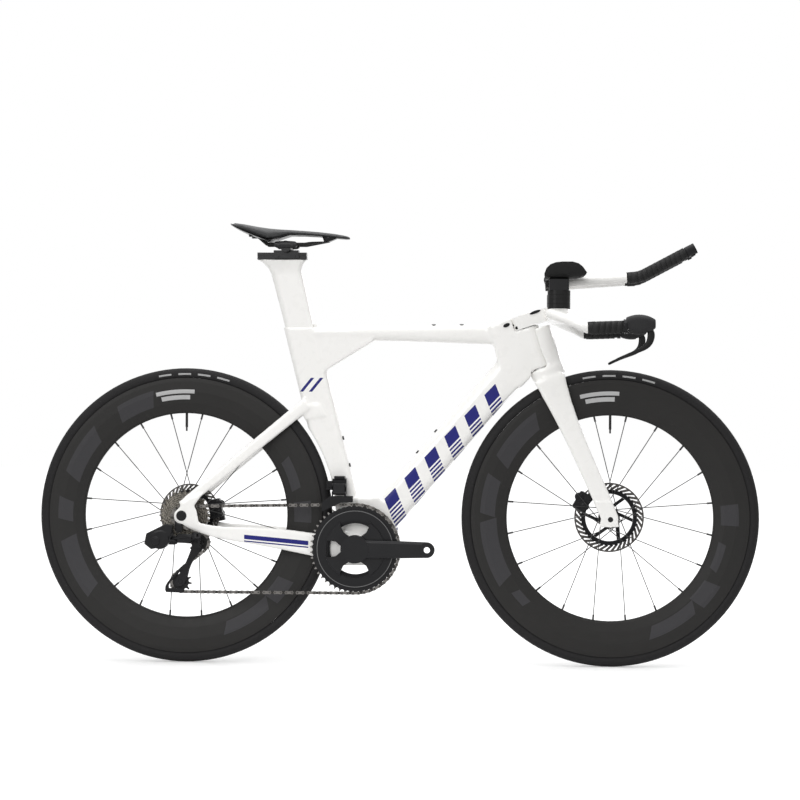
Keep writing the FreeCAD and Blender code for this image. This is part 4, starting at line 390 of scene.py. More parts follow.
nodeFinish = {
    "pearl": ["fork", "stem", "base_bar", "seatpost"],
    "reach": ["left_extension", "right_extension"],
    "frame": ["front_triangle", "chainstays", "seatstays"],
    "spoke": ["front_spokes", "rear_spokes"],
    "alloy": ["front_hub", "rear_hub", "front_axle", "front_caliper", "rear_caliper",
              "saddle_carriage", "saddle_cradle", "saddle_rail", "extension_clamps"],
    "bolt": ["frame_hardware"],
    "crank": ["left_crank", "right_crank"],
    "rings": ["chainrings"],
    "chain": ["chain"], "cassette": ["cassette"], "steel": ["frame_bearings"],
    "gloss": ["rear_derailleur_body", "rear_derailleur_link", "rear_derailleur_knuckle", "derailleur_cage",
              "front_derailleur_body", "front_derailleur_link", "front_derailleur_cage", "left_shift_button",
              "right_shift_button"],
    "matte": ["guide_pulley", "tension_pulley", "saddle_base", "saddle_rails", "armrest_cups", "left_brake_lever",
              "right_brake_lever"],
    "riser": ["riser_spacers"],
    "saddle": ["saddle_cover"], "pad": ["armrest_pads"],
    "tape": ["bar_tape", "left_extension_grip", "right_extension_grip"], "hood": ["brake_hoods"],
    "padStone": ["front_left_brake_pad", "front_right_brake_pad", "rear_left_brake_pad", "rear_right_brake_pad"],
}
rotorEdge = {"front": 0.0665, "rear": 0.0565}
rotorSteel = tone(0.075, 0.07, 0.066)
for end, axle in axles.items():
    finishes[end + "Rim"] = carbonRim(end + "RimCarbon", axle, rimBlocks[end] + rimBlocks["both"])
    finishes[end + "Tyre"] = tyreRubber(end + "TyreRubber", axle)
    finishes[end + "Rotor"] = ringMetal(end + "RotorSteel", axle, rotorEdge[end], black, rotorSteel, 0.35, 0.9)
    nodeFinish.update({end + part.capitalize(): [end + "_" + part] for part in ("rim", "tyre", "rotor")})
for finish, names in nodeFinish.items():
    for name in names:
        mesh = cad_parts[name].data
        mesh.materials.clear()
        mesh.materials.append(finishes[finish])
print("finishes on", sum(len(names) for names in nodeFinish.values()), "nodes")


# Meshes for new pieces
def mergedCopy(*nodes):
    shape = bmesh.new()
    for name in nodes:
        shape.from_mesh(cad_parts[name].data)
    bmesh.ops.remove_doubles(shape, verts=shape.verts, dist=0.000002)
    return shape


def toMesh(name, shape):
    mesh = bpy.data.meshes.new(name)
    shape.to_mesh(mesh)
    shape.free()
    return mesh


def faceOut(shape):
    bmesh.ops.recalc_face_normals(shape, faces=shape.faces)


def newPiece(name, shape, body, finish="gloss", smooth=True):
    for face in shape.faces:
        face.smooth = smooth
    mesh = toMesh(name, shape)
    mesh.materials.append(finishes[finish])
    piece = bpy.data.objects.new(name, mesh)
    scene.collection.objects.link(piece)
    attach(piece, body)
    return piece


def settle(piece):  # the mesh that the modifiers give takes the place of the piece's own
    finished = bpy.data.meshes.new_from_object(piece.evaluated_get(bpy.context.evaluated_depsgraph_get()))
    piece.modifiers.clear()
    piece.data = finished


def roundEdges(piece, width):
    bevel = piece.modifiers.new("roundEdges", "BEVEL")
    bevel.width = width
    bevel.segments = 2
    bevel.limit_method = "ANGLE"


def evenMesh(piece, voxel):
    remesh = piece.modifiers.new("evenMesh", "REMESH")
    remesh.mode = "VOXEL"
    remesh.voxel_size = voxel
    remesh.use_smooth_shade = True
    settle(piece)


def finerMesh(piece):
    finer = piece.modifiers.new("finer", "SUBSURF")
    finer.levels = 1
    finer.render_levels = 1


def eased(shape, points, rounds):
    for turn in range(rounds):
        bmesh.ops.smooth_vert(shape, verts=points, factor=0.5, use_axis_x=True, use_axis_y=True, use_axis_z=True)


# Swept forms: a ring of points grown from place to place
def swept(rings, segments=20, square=1.0):
    shape = bmesh.new()
    loop = bmesh.ops.create_circle(shape, segments=segments, radius=1)["verts"]
    bmesh.ops.rotate(shape, verts=loop, cent=(0, 0, 0), matrix=Matrix.Rotation(math.pi / 2, 3, "Y"))
    for vert in loop:
        vert.co = Vector([math.copysign(abs(part) ** square, part) for part in vert.co])
    edges = list(shape.edges)
    last = Matrix()
    for index, (place, tilt, wide, tall) in enumerate(rings):
        goal = Matrix.Translation(place) @ Matrix.Rotation(math.radians(-tilt), 4, "Y")
        goal = goal @ Matrix.Diagonal((1, wide, tall, 1))
        if index:
            grown = bmesh.ops.extrude_edge_only(shape, edges=edges)["geom"]
            loop = [item for item in grown if isinstance(item, bmesh.types.BMVert)]
            edges = [item for item in grown if isinstance(item, bmesh.types.BMEdge)
                     and item.verts[0] in loop and item.verts[1] in loop]
        bmesh.ops.transform(shape, matrix=goal @ last.inverted(), verts=loop)
        last = goal
    bmesh.ops.holes_fill(shape, edges=[edge for edge in shape.edges if edge.is_boundary], sides=0)
    faceOut(shape)
    return shape


def islands(shape):
    found = []
    seen = set()
    for start in shape.verts:
        group = [] if start in seen else [start]
        seen.add(start)
        for vert in group:
            fresh = [edge.other_vert(vert) for edge in vert.link_edges if edge.other_vert(vert) not in seen]
            seen.update(fresh)
            group += fresh
        if group:
            found.append(group)
    return found


def prism(shape, outline, low, high):  # an outline of x and z drawn across from low to high
    verts = bmesh.ops.create_circle(shape, cap_ends=True, segments=len(outline), radius=1)["verts"]
    for vert, (x, z) in zip(verts, outline):
        vert.co = Vector((x, low, z))
    grown = bmesh.ops.extrude_face_region(shape, geom=list({face for vert in verts for face in vert.link_faces}))
    bmesh.ops.translate(shape, vec=(0, high - low, 0),
                        verts=[item for item in grown["geom"] if isinstance(item, bmesh.types.BMVert)])


def loopOf(shape, corners):  # a closed loop of points and edges, to be spun
    points = [shape.verts.new(corner) for corner in corners]
    return points + [shape.edges.new((points[index - 1], point)) for index, point in enumerate(points)]


def ringBand(shape, axle, inner, outer, low, high):
    corners = [(inner, low), (outer, low), (outer, high), (inner, high)]
    loop = loopOf(shape, [(axle.x + reach, y, axle.z) for reach, y in corners])
    bmesh.ops.spin(shape, geom=loop, cent=axle, axis=(0, 1, 0), angle=math.tau, steps=96, use_merge=True)


def block(shape, low, high):
    low = Vector(low)
    high = Vector(high)
    place = Matrix.Translation((low + high) / 2) @ Matrix.Diagonal((*(high - low), 1))
    bmesh.ops.create_cube(shape, size=1, matrix=place)


def disc(shape, place, radius, depth, segments=24):  # a round slug along y
    turn = Matrix.Translation(place) @ Matrix.Rotation(math.pi / 2, 4, "X")
    bmesh.ops.create_cone(shape, cap_ends=True, segments=segments, radius1=radius, radius2=radius, depth=depth,
                          matrix=turn)


# Saddle: a shell of rows along x, each with its top, its skirt and its half width
saddleForm = {"segments": 44, "square": 0.85, "edgeFrom": 0.5, "edgeWide": 0.4, "pad": 0.010}
saddleRows = [(-0.3830, 1.0118, 1.0070, 0.038), (-0.3720, 1.0105, 1.0000, 0.055), (-0.3520, 1.0080, 0.9900, 0.064),
              (-0.3220, 1.0025, 0.9780, 0.064), (-0.2960, 0.9990, 0.9690, 0.056), (-0.2720, 0.9970, 0.9770, 0.045),
              (-0.2480, 0.9957, 0.9840, 0.036), (-0.2150, 0.9937, 0.9840, 0.029), (-0.1800, 0.9910, 0.9820, 0.0245),
              (-0.1450, 0.9870, 0.9790, 0.0215), (-0.1200, 0.9828, 0.9765, 0.017), (-0.1115, 0.9808, 0.9768, 0.010)]


def saddleShape(rows, pad):
    rings = [(Vector((x, 0, (top + skirt) / 2)), 0, wide, (top - skirt) / 2) for x, top, skirt, wide in rows]
    shape = swept(rings, saddleForm["segments"], saddleForm["square"])
    for vert in shape.verts:
        x, top, skirt, wide = min(rows, key=lambda row: abs(row[0] - vert.co.x))
        edge = max(0, min(1, (abs(vert.co.y) / wide - saddleForm["edgeFrom"]) / saddleForm["edgeWide"]))
        vert.co.z = max(vert.co.z, top - pad - (top - skirt) * edge)
    return shape


# Saddle cover and armrest pads: the form drawn in a little, then blown up as cloth
clothSteps = 20
softForms = {
    "saddleCover": {"node": "saddle_cover", "body": "saddle", "finish": "saddle", "slot": "saddle_skin",
                    "voxel": 0.0026, "drawIn": 0.0004, "pressure": 4, "cap": 0.0016, "fill": 0.9},
    "armrestPads": {"node": "armrest_pads", "body": "steering", "finish": "pad", "slot": "foam_fabric",
                    "voxel": 0.004, "drawIn": 0.0008, "pressure": 4, "cap": 0.0016, "fill": 0.8},
}
for name, form in softForms.items():
    shape = saddleShape(saddleRows, saddleForm["pad"]) if name == "saddleCover" else mergedCopy(form["node"])
    piece = newPiece(name, shape, form["body"], form["finish"])
    evenMesh(piece, form["voxel"])
    for point in piece.data.vertices:
        point.co = point.co - point.normal * form["drawIn"]
    start = [point.co.copy() for point in piece.data.vertices]
    cloth = piece.modifiers.new("blownCloth", "CLOTH")
    cloth.settings.use_pressure = True
    cloth.settings.uniform_pressure_force = form["pressure"]
    cloth.settings.effector_weights.gravity = 0
    for step in range(clothSteps):
        scene.frame_set(step + 1)
    settle(piece)
    scene.frame_set(1)
    for point, rest in zip(piece.data.vertices, start):
        moved = point.co - rest
        if moved.length > form["cap"]:
            point.co = rest + moved * (form["cap"] / moved.length)
    shape = bmesh.new()
    shape.from_mesh(piece.data)
    eased(shape, shape.verts, 1)
    for face in shape.faces:
        face.smooth = True
    shape.to_mesh(piece.data)
    shape.free()
    piece.data.materials.clear()
    piece.data.materials.append(finishes[form["finish"]])
    finerMesh(piece)
    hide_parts(form["node"])
print("padded pieces blown up")

# Saddle shell under the cover: two rear rail sockets and a nose block on the rail tips
shell = {"lip": 0.0042, "under": 0.0010, "inset": 0.003, "pad": 0.0045, "socketX": (-0.341, -0.322),
         "socketY": 0.027, "socketSides": (-0.007, 0.007), "socketZ": (0.980, 0.999)}
nose = {"from": -0.170, "rise": (0.001, 0.003), "front": 0.022, "back": 0.006, "top": (0.986, 0.9805),
        "side": 0.001}
shellRows = [(x, skirt + shell["lip"], skirt - shell["under"], wide - shell["inset"])
             for x, top, skirt, wide in saddleRows]
shape = saddleShape(shellRows, shell["pad"])
for way in sides.values():
    corners = zip(shell["socketX"], shell["socketSides"], shell["socketZ"])
    block(shape, *((x, shell["socketY"] * way + y, z) for x, y, z in corners))
railTips = [point.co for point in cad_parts["saddle_rails"].data.vertices if point.co.x > nose["from"]]
low = Vector([min(tip[axis] for tip in railTips) for axis in range(3)])
high = Vector([max(tip[axis] for tip in railTips) for axis in range(3)])
prism(shape, [(low.x, low.z + nose["rise"][0]), (high.x, low.z + nose["rise"][1]),
              (high.x + nose["front"], nose["top"][1]), (low.x - nose["back"], nose["top"][0])],
      low.y - nose["side"], high.y + nose["side"])
faceOut(shape)
piece = newPiece("saddleShell", shape, "saddle")
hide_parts("saddle_base")

# Clamp jaws on the saddle rails, with their bolts
jaws = {"x": [-0.2835, -0.2790, -0.2660, -0.2480, -0.2350, -0.2305],
        "tall": [0.004, 0.0072, 0.0084, 0.0084, 0.0072, 0.004], "y": 0.027, "z": 0.9622, "wide": 0.0078,
        "bolts": (-0.272, -0.242), "boltRadius": 0.0038, "boltDepth": 0.003, "edge": 0.0005}
shape = bmesh.new()
for way in sides.values():
    rings = [(Vector((x, jaws["y"] * way, jaws["z"])), 0, jaws["wide"], tall)
             for x, tall in zip(jaws["x"], jaws["tall"])]
    shape.from_mesh(toMesh("jaw", swept(rings, 20, 0.7)))
    for x in jaws["bolts"]:
        disc(shape, (x, (jaws["y"] + jaws["wide"]) * way, jaws["z"]), jaws["boltRadius"], jaws["boltDepth"])
piece = newPiece("clampJaws", shape, "saddle", "alloy", False)
roundEdges(piece, jaws["edge"])

# Grip tape wound as a helix, each turn lapping the last
wind = {"steps": 28, "lap": 1.3, "thick": 0.0017, "rise": 0.0007, "sleeve": 0.0003}


def woundTape(length, radius, pitch):
    turns = length / pitch - wind["lap"]
    steps = int(turns * wind["steps"])
    shape = bmesh.new()
    wide = pitch * wind["lap"]
    corners = [(0, radius), (wide, radius + wind["rise"]), (wide, radius + wind["rise"] + wind["thick"]),
               (0, radius + wind["thick"])]
    loop = loopOf(shape, [(x, 0, z) for x, z in corners])
    bmesh.ops.spin(shape, geom=loop, cent=(0, 0, 0), axis=(1, 0, 0), dvec=(turns * pitch / steps, 0, 0),
                   angle=math.tau * turns, steps=steps)
    bmesh.ops.holes_fill(shape, edges=[edge for edge in shape.edges if edge.is_boundary], sides=4)
    faceOut(shape)
    sleeve = bmesh.ops.create_cone(shape, cap_ends=True, segments=32, radius1=radius + wind["sleeve"],
                                   radius2=radius + wind["sleeve"], depth=length)
    bmesh.ops.rotate(shape, verts=sleeve["verts"], cent=(0, 0, 0), matrix=Matrix.Rotation(math.pi / 2, 3, "Y"))
    bmesh.ops.translate(shape, verts=sleeve["verts"], vec=(length / 2, 0, 0))
    lengthwise = {edge for vert in sleeve["verts"] for edge in vert.link_edges
                  if abs(edge.verts[0].co.x - edge.verts[1].co.x) > length / 2}
    bmesh.ops.subdivide_edges(shape, edges=list(lengthwise), cuts=24)
    return shape


def bendAlong(shape, first, corner, last, arc):
    legIn = (corner - first).normalized()
    legOut = (last - corner).normalized()
    turn = legIn.angle(legOut)
    setback = arc * math.tan(turn / 2)
    straight = (corner - first).length - setback
    for vert in shape.verts:
        run = vert.co.x - straight
        tilt = min(max(run / arc, 0), turn)
        way = legIn.lerp(legOut, tilt / turn).normalized()
        up = Vector((-way.z, 0, way.x))
        upIn = Vector((-legIn.z, 0, legIn.x))
        middle = first + legIn * min(vert.co.x, straight)
        if run > 0:
            middle = middle + legIn * (arc * math.sin(tilt)) + upIn * (arc * (1 - math.cos(tilt)))
            middle = middle + legOut * max(run - arc * turn, 0)
        vert.co = middle + up * vert.co.z + Vector((0, vert.co.y, 0))


gripLine = {"start": Vector((0.4305, barHalf, 0.7671)), "end": Vector((0.5135, barHalf, 0.7700)),
            "radius": 0.0121, "pitch": 0.0125}
reachLine = {"start": Vector((0.521, 0.06, 0.8847)), "corner": Vector((0.55, 0.06, 0.8867)),
             "end": Vector((0.655, 0.06, 0.9426)), "radius": 0.0112, "pitch": 0.0118, "arc": 0.06}
for side, way in sides.items():
    flip = Matrix.Diagonal((1, way, 1, 1))
    span = gripLine["end"] - gripLine["start"]
    shape = woundTape(span.length, gripLine["radius"], gripLine["pitch"])
    bmesh.ops.rotate(shape, verts=shape.verts, cent=(0, 0, 0), matrix=span.to_track_quat("X", "Z").to_matrix())
    bmesh.ops.translate(shape, verts=shape.verts, vec=gripLine["start"])
    bmesh.ops.transform(shape, matrix=flip, verts=shape.verts)
    faceOut(shape)
    piece = newPiece(side + "GripTape", shape, "steering", "tape")
    if way > 0:
        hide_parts("bar_tape")
    first, corner, last = reachLine["start"], reachLine["corner"], reachLine["end"]
    length = (corner - first).length + (last - corner).length
    shape = woundTape(length, reachLine["radius"], reachLine["pitch"])
    bendAlong(shape, first, corner, last, reachLine["arc"])
    bmesh.ops.transform(shape, matrix=flip, verts=shape.verts)
    faceOut(shape)
    piece = newPiece(side + "ReachTape", shape, side + "_extension", "tape")
    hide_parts(side + "_extension_grip")
print("grip tape wound")


# Painted and rubber skins: CAD solids joined into one mesh and eased at their corners
skins = {
    "frameSkin": {
        "nodes": ["front_triangle", "chainstays", "seatstays"], "body": "frame", "finish": "frame",
        "slot": "pearl_paint", "voxel": 0.0026, "rounds": 3,
        "fillers": [
            (axles["rear"], (0.0722, 0.0797), [
                (-0.0167, 0.0094), (-0.0140, -0.0047), (-0.0010, -0.0120), (0.0400, -0.0120), (0.0350, 0.0140),
                (0.0296, 0.0250), (0.0500, 0.0530), (0.0180, 0.0440)]),
            (Vector(), (0, 0.0140), [(-0.1680, 0.6715), (-0.0560, 0.7410), (-0.0560, 0.7520), (-0.1740, 0.7520)]),
            (Vector(), (0, 0.0143), [(0.125, 0.7640), (0.218, 0.7780), (0.218, 0.7560), (0.125, 0.7540)]),
            (Vector(), (0, 0.0195), [(0.215, 0.5760), (0.300, 0.6590), (0.300, 0.7000), (0.225, 0.6450)]),
            (Vector(), (0, 0.0172), [(-0.2210, 0.5940), (-0.1760, 0.5940), (-0.1640, 0.5700), (-0.2130, 0.5600)])],
        "ease": [((-0.215, 0, 0.590), 0.045, 5), ((-0.4875, 0.075, 0.362), 0.022, 6), ((-0.150, 0, 0.690), 0.075, 4),
                 ((0.270, 0, 0.680), 0.090, 12), ((0.214, 0, 0.755), 0.042, 16), ((-0.075, 0, 0.330), 0.060, 10)]},
    "forkSkin": {
        "nodes": ["fork"], "body": "steering", "finish": "pearl", "slot": "pearl_paint", "voxel": 0.0022, "rounds": 1,
        "fillers": [(axles["front"], (0.0504, 0.0596), [
            (-0.0250, -0.0170), (0.0190, -0.0170), (0.0160, 0.0050), (0.0020, 0.0400), (-0.0300, 0.0400),
            (-0.0205, 0.0050)])],
        "ease": [((0.350, 0.025, 0.665), 0.050, 18), ((0.390, 0.03, 0.640), 0.045, 14)]},
    "barSkin": {
        "nodes": ["base_bar"], "body": "steering", "finish": "pearl", "slot": "pearl_paint", "voxel": 0.002,
        "rounds": 3, "ease": [((0.385, 0.165, 0.795), 0.060, 10)]},
    "postSkin": {
        "nodes": ["seatpost"], "body": "mast", "finish": "pearl", "slot": "pearl_paint", "voxel": 0.002, "rounds": 2,
        "ease": [((-0.25, 0, 0.90), 0.05, 8)]},
    "shifterSkin": {
        "nodes": ["rear_derailleur_body"], "body": "frame", "finish": "gloss", "slot": "derailleur_plastic",
        "voxel": 0.0010, "rounds": 5,
        "slugs": [((-0.5330, -0.0860, 0.2860), 0.0205, 0.0240), ((-0.5180, -0.0840, 0.3010), 0.0140, 0.0200),
                  ((-0.5420, -0.0990, 0.2830), 0.0090, 0.0040)]},
    "frontCaliperSkin": {
        "nodes": ["front_caliper"], "body": "steering", "finish": "gloss", "slot": "black_alloy", "voxel": 0.0009,
        "rounds": 3, "slugs": [((x, y, z), radius, 0.0050) for y in (0.0290, 0.0505)
                               for x, z, radius in ((0.4180, 0.3860, 0.0095), (0.4330, 0.3640, 0.0085))]},
    "rearCaliperSkin": {
        "nodes": ["rear_caliper"], "body": "frame", "finish": "gloss", "slot": "black_alloy", "voxel": 0.0009,
        "rounds": 3, "slugs": [((x, y, z), radius, 0.0050) for y in (0.0450, 0.0745)
                               for x, z, radius in ((-0.4170, 0.3620, 0.0090), (-0.4160, 0.3400, 0.0080))]},
    "hoodSkin": {
        "nodes": ["brake_hoods"], "body": "steering", "finish": "hood", "slot": "grip_rubber", "voxel": 0.0011,
        "rounds": 3},
}
for name, skin in skins.items():
    shape = mergedCopy(*skin["nodes"])
    for place, radius, depth in skin.get("slugs", []):
        disc(shape, place, radius, depth, 32)
    for axle, (low, high), outline in skin.get("fillers", []):
        spots = [(axle.x + x, axle.z + z) for x, z in outline]
        for near, far in [(low, high), (-high, -low)] if low else [(-high, high)]:
            prism(shape, spots, near, far)
    faceOut(shape)
    piece = newPiece(name, shape, skin["body"], skin["finish"])
    evenMesh(piece, skin["voxel"])
    shape = bmesh.new()
    shape.from_mesh(piece.data)
    for (x, y, z), reach, rounds in skin.get("ease", []):
        for way in sides.values() if y else [1]:  # a corner off the middle plane is eased on both sides
            corner = Vector((x, y * way, z))
            eased(shape, [vert for vert in shape.verts if (vert.co - corner).length < reach], rounds)
    eased(shape, shape.verts, skin["rounds"])
    print(name, len(shape.faces), "faces")
    shape.to_mesh(piece.data)
    shape.free()
    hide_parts(*skin["nodes"])


# Brake levers: flat blades, thick where they leave the hood and slim at the tip
leverBlade = {"wide": 0.0046, "rings": [
    (0.5660, 0.7680, 90, 0.0060), (0.5692, 0.7600, 86, 0.0082), (0.5696, 0.7480, 80, 0.0086),
    (0.5660, 0.7352, 62, 0.0078), (0.5585, 0.7262, 36, 0.0062), (0.5440, 0.7185, 22, 0.0046),
    (0.5270, 0.7120, 21, 0.0036), (0.5080, 0.7040, 24, 0.0033), (0.4930, 0.6968, 28, 0.0036),
    (0.4888, 0.6940, 34, 0.0026)]}
for side, way in sides.items():
    rings = [(Vector((x, barHalf * way, z)), tilt, leverBlade["wide"], tall)
             for x, z, tilt, tall in leverBlade["rings"]]
    piece = newPiece(side + "LeverBlade", swept(rings, 16, 0.75), side + "_lever", "lever")
    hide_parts(side + "_brake_lever")
    finerMesh(piece)

# Shift pods: the plain end of each extension grip, kept from the CAD form
smallEdge = 0.0008
for side in sides:
    shape = mergedCopy(side + "_extension_grip")
    groups = sorted(islands(shape), key=lambda group: min(vert.co.x for vert in group))
    bmesh.ops.delete(shape, geom=[vert for group in groups[:-1] for vert in group], context="VERTS")
    roundEdges(newPiece(side + "ShiftPod", shape, side + "_extension", smooth=False), smallEdge)
print("skins, levers and pods ready")

# Chain: waisted plates and rollers at the place of each CAD link
link = {"half": 0.00635, "end": 0.0041, "waist": 0.0029, "corner": 0.45, "cornerTall": 0.93, "plate": 0.0007,
        "roller": 0.0036, "pin": 0.0019}
pulleys = {"guide": Vector((-0.4477, 0.2801)), "tension": Vector((-0.4893, 0.1898))}
cageWay = (pulleys["tension"] - pulleys["guide"]).normalized()
# The chain is split where the derailleur moves it: each stretch is a piece on its own body
chainParts = {"chainLinks": "frame", "chainGuide": "rear_knuckle", "chainLoop": "rear_cage", "chainTail": "frame"}
split = {"tailTop": 0.178, "tailFront": -0.100, "loopTop": 0.290, "loopFront": -0.425, "loopFrom": 0.014,
         "guideReach": 0.028, "tailKeep": 0.79}


def chainPart(middle):
    spot = middle.xz
    if spot.y < split["tailTop"] and pulleys["tension"].x < spot.x < split["tailFront"]:
        return "chainTail"
    fromGuide = spot - pulleys["guide"]
    behind = spot.x < split["loopFront"] and spot.y < split["loopTop"]
    if behind and fromGuide.dot(cageWay) > split["loopFrom"]:
        return "chainLoop"
    return "chainGuide" if fromGuide.length < split["guideReach"] else "chainLinks"


def linkPlates(low, high, pin):
    shape = bmesh.new()
    points = []
    for x, z in [(-1, -1), (0, -1), (1, -1), (1, 0), (1, 1), (0, 1), (-1, 1), (-1, 0)]:
        reach = link["half"] * x + link["end"] * x * (link["corner"] if z else 1)
        points.append((reach, link["end"] * link["cornerTall"] * z if x else link["waist"] * z))
    prism(shape, points, low, high)
    prism(shape, points, -high, -low)
    for x in (-link["half"], link["half"]):
        disc(shape, (x, 0, 0), pin, 2 * high, 8)
    faceOut(shape)
    return toMesh("linkForm", shape)


cadLinks = []
shape = mergedCopy("chain")
for group in islands(shape):
    middle = sum((vert.co for vert in group), Vector()) / len(group)
    far = max(group, key=lambda vert: (vert.co.xz - middle.xz).length)
    wide = max(abs(vert.co.y - middle.y) for vert in group)
    ends = [vert.co.xz - middle.xz for vert in group if (vert.co.xz - middle.xz).dot(far.co.xz - middle.xz) > 0]
    way = sum(ends, Vector((0, 0)))
    cadLinks.append((middle, math.atan2(way.y, way.x), wide))
shape.free()
widest = max(wide for middle, angle, wide in cadLinks)
slimmest = min(wide for middle, angle, wide in cadLinks)
forms = {"outer": linkPlates(widest - link["plate"], widest, link["pin"]),
         "inner": linkPlates(slimmest - link["plate"], slimmest, link["roller"])}
shapes = {name: bmesh.new() for name in chainParts}
for middle, angle, wide in cadLinks:
    shape = shapes[chainPart(middle)]
    kind = "outer" if wide > (widest + slimmest) / 2 else "inner"
    before = len(shape.verts)
    shape.from_mesh(forms[kind])
    shape.verts.ensure_lookup_table()
    place = Matrix.Translation(middle) @ Matrix.Rotation(-angle, 4, "Y")
    added = shape.verts[before:]
    bmesh.ops.transform(shape, matrix=place, verts=added)
    for face in {face for vert in added for face in vert.link_faces}:
        face.material_index = 1 if kind == "outer" else 0
for name, body in chainParts.items():
    piece = newPiece(name, shapes[name], body, "chain", False)
    piece.data.materials.append(finishes["chainOuter"])
    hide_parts("chain")
    print(name, len(piece.data.polygons), "faces")
    if name == "chainTail":  # the lower run shortens as the cage swings forward
        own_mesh(piece)
print("chain of", len(cadLinks), "links")

# Small black parts: a band behind each hood, and flat marks for bolts and fillers on the stem and top tube
hoodBand = {"x": (0.5095, 0.5175), "z": 0.7712, "tilt": 2, "radius": 0.0158}
for side, way in sides.items():
    rings = [(Vector((x, barHalf * way, hoodBand["z"])), hoodBand["tilt"], hoodBand["radius"], hoodBand["radius"])
             for x in hoodBand["x"]]
    roundEdges(newPiece(side + "HoodBand", swept(rings, 32), "steering"), smallEdge)
markDepth = 0.0012
marks = {"stemMarks": {"node": "stem", "body": "steering",
                       "spots": [(0.2735, 0.7730, 0.0036, 0.0036, 0), (0.2660, 0.7790, 0.0022, 0.0022, 0),
                                 (0.3150, 0.8090, 0.0130, 0.0034, -20)]},
         "frameMarks": {"node": "front_triangle", "body": "frame",
                        "spots": [(0.2500, 0.7790, 0.0080, 0.0042, -24)]}}
for name, mark in marks.items():
    under = mergedCopy(mark["node"])
    surface = BVHTree.FromBMesh(under)
    under.free()
    shape = bmesh.new()
    for x, z, long, tall, tilt in mark["spots"]:
        for way in sides.values():
            spot = surface.ray_cast(Vector((x, way, z)), Vector((0, -way, 0)))[0]
            if spot:
                place = Matrix.Translation(spot) @ Matrix.Rotation(math.radians(tilt), 4, "Y")
                place = place @ Matrix.Diagonal((long, markDepth, tall, 1)) @ Matrix.Rotation(math.pi / 2, 4, "X")
                bmesh.ops.create_cone(shape, cap_ends=True, segments=20, radius1=1, radius2=1, depth=2, matrix=place)
    faceOut(shape)
    newPiece(name, shape, mark["body"], smooth=False)
print("small black parts placed")

# Brake rotors: a thin rim, leaning bars with slots between them, a carrier ring and slanted arms
rotorForm = {"rings": [(0.955, 1.0), (0.68, 0.805), (0.215, 0.31)],
             "bars": {"span": (0.79, 0.975), "count": 36, "lean": 48, "thick": 0.96}, "barShare": 0.07,
             "arms": {"span": (0.27, 0.72), "count": 6, "lean": 24, "thick": 0.92}, "armWide": 0.0075}


def leaningBars(shape, place, span, wide, thick, form):
    length = (span[1] - span[0]) / math.cos(math.radians(form["lean"]))
    size = Matrix.Diagonal((length, thick * form["thick"], wide, 1))
    for index in range(form["count"]):
        spot = Matrix.Translation(place) @ Matrix.Rotation(math.tau * index / form["count"], 4, "Y")
        spot = spot @ Matrix.Translation(((span[0] + span[1]) / 2, 0, 0))
        bmesh.ops.create_cube(shape, size=1, matrix=spot @ Matrix.Rotation(math.radians(form["lean"]), 4, "Y") @ size)


for end, axle in axles.items():
    low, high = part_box(end + "_rotor")
    outer = (high.x - low.x) / 2
    place = Vector((axle.x, (low.y + high.y) / 2, axle.z))
    shape = bmesh.new()
    for inside, outside in rotorForm["rings"]:
        ringBand(shape, axle, inside * outer, outside * outer, low.y, high.y)
    for part, wide in (("bars", rotorForm["barShare"] * outer), ("arms", rotorForm["armWide"])):
        span = [share * outer for share in rotorForm[part]["span"]]
        leaningBars(shape, place, span, wide, high.y - low.y, rotorForm[part])
    faceOut(shape)
    piece = newPiece(end + "RotorFace", shape, end + "_wheel", end + "Rotor", False)
    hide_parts(end + "_rotor")

# Crank star: four arms that flare out to the ring
star = {"angles": (38, 142, 218, -38), "proud": 0.0012, "deep": 0.004,
        "half": [(0.024, 0.0150), (0.044, 0.0140), (0.056, 0.0200), (0.0645, 0.0290)], "tip": 0.069,
        "edge": 0.0014}
shape = bmesh.new()
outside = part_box("chainrings")[0].y
for angle in star["angles"]:
    turn = Matrix.Rotation(math.radians(angle), 2)
    outline = [(reach, -half) for reach, half in star["half"]] + [(star["tip"], 0)]
    outline += [(reach, half) for reach, half in reversed(star["half"])]
    spots = [turn @ Vector(spot) + Vector((bracket.x, bracket.z)) for spot in outline]
    prism(shape, [tuple(spot) for spot in spots], outside - star["proud"], outside + star["deep"])
faceOut(shape)
piece = newPiece("crankStar", shape, "crankset", "crank", False)
roundEdges(piece, star["edge"])

# Rear dropout face and front shifter motor
dropoutFace = {"offset": (0.001, -0.0800, 0.002), "radius": 0.0118, "deep": 0.0026, "edge": 0.0006}
shape = bmesh.new()
disc(shape, axles["rear"] + Vector(dropoutFace["offset"]), dropoutFace["radius"], dropoutFace["deep"], 32)
roundEdges(newPiece("dropoutFace", shape, "frame", smooth=False), dropoutFace["edge"])
motor = {"blocks": [((-0.1600, -0.0340, 0.4000), (-0.1430, -0.0170, 0.4210)),
                    ((-0.1420, -0.0340, 0.4230), (-0.1180, -0.0140, 0.4320)),
                    ((-0.1560, -0.0350, 0.4060), (-0.1440, -0.0330, 0.4170))], "edge": 0.0022}
shape = bmesh.new()
for low, high in motor["blocks"]:
    block(shape, low, high)
roundEdges(newPiece("frontShifterMotor", shape, "frame", smooth=False), motor["edge"])

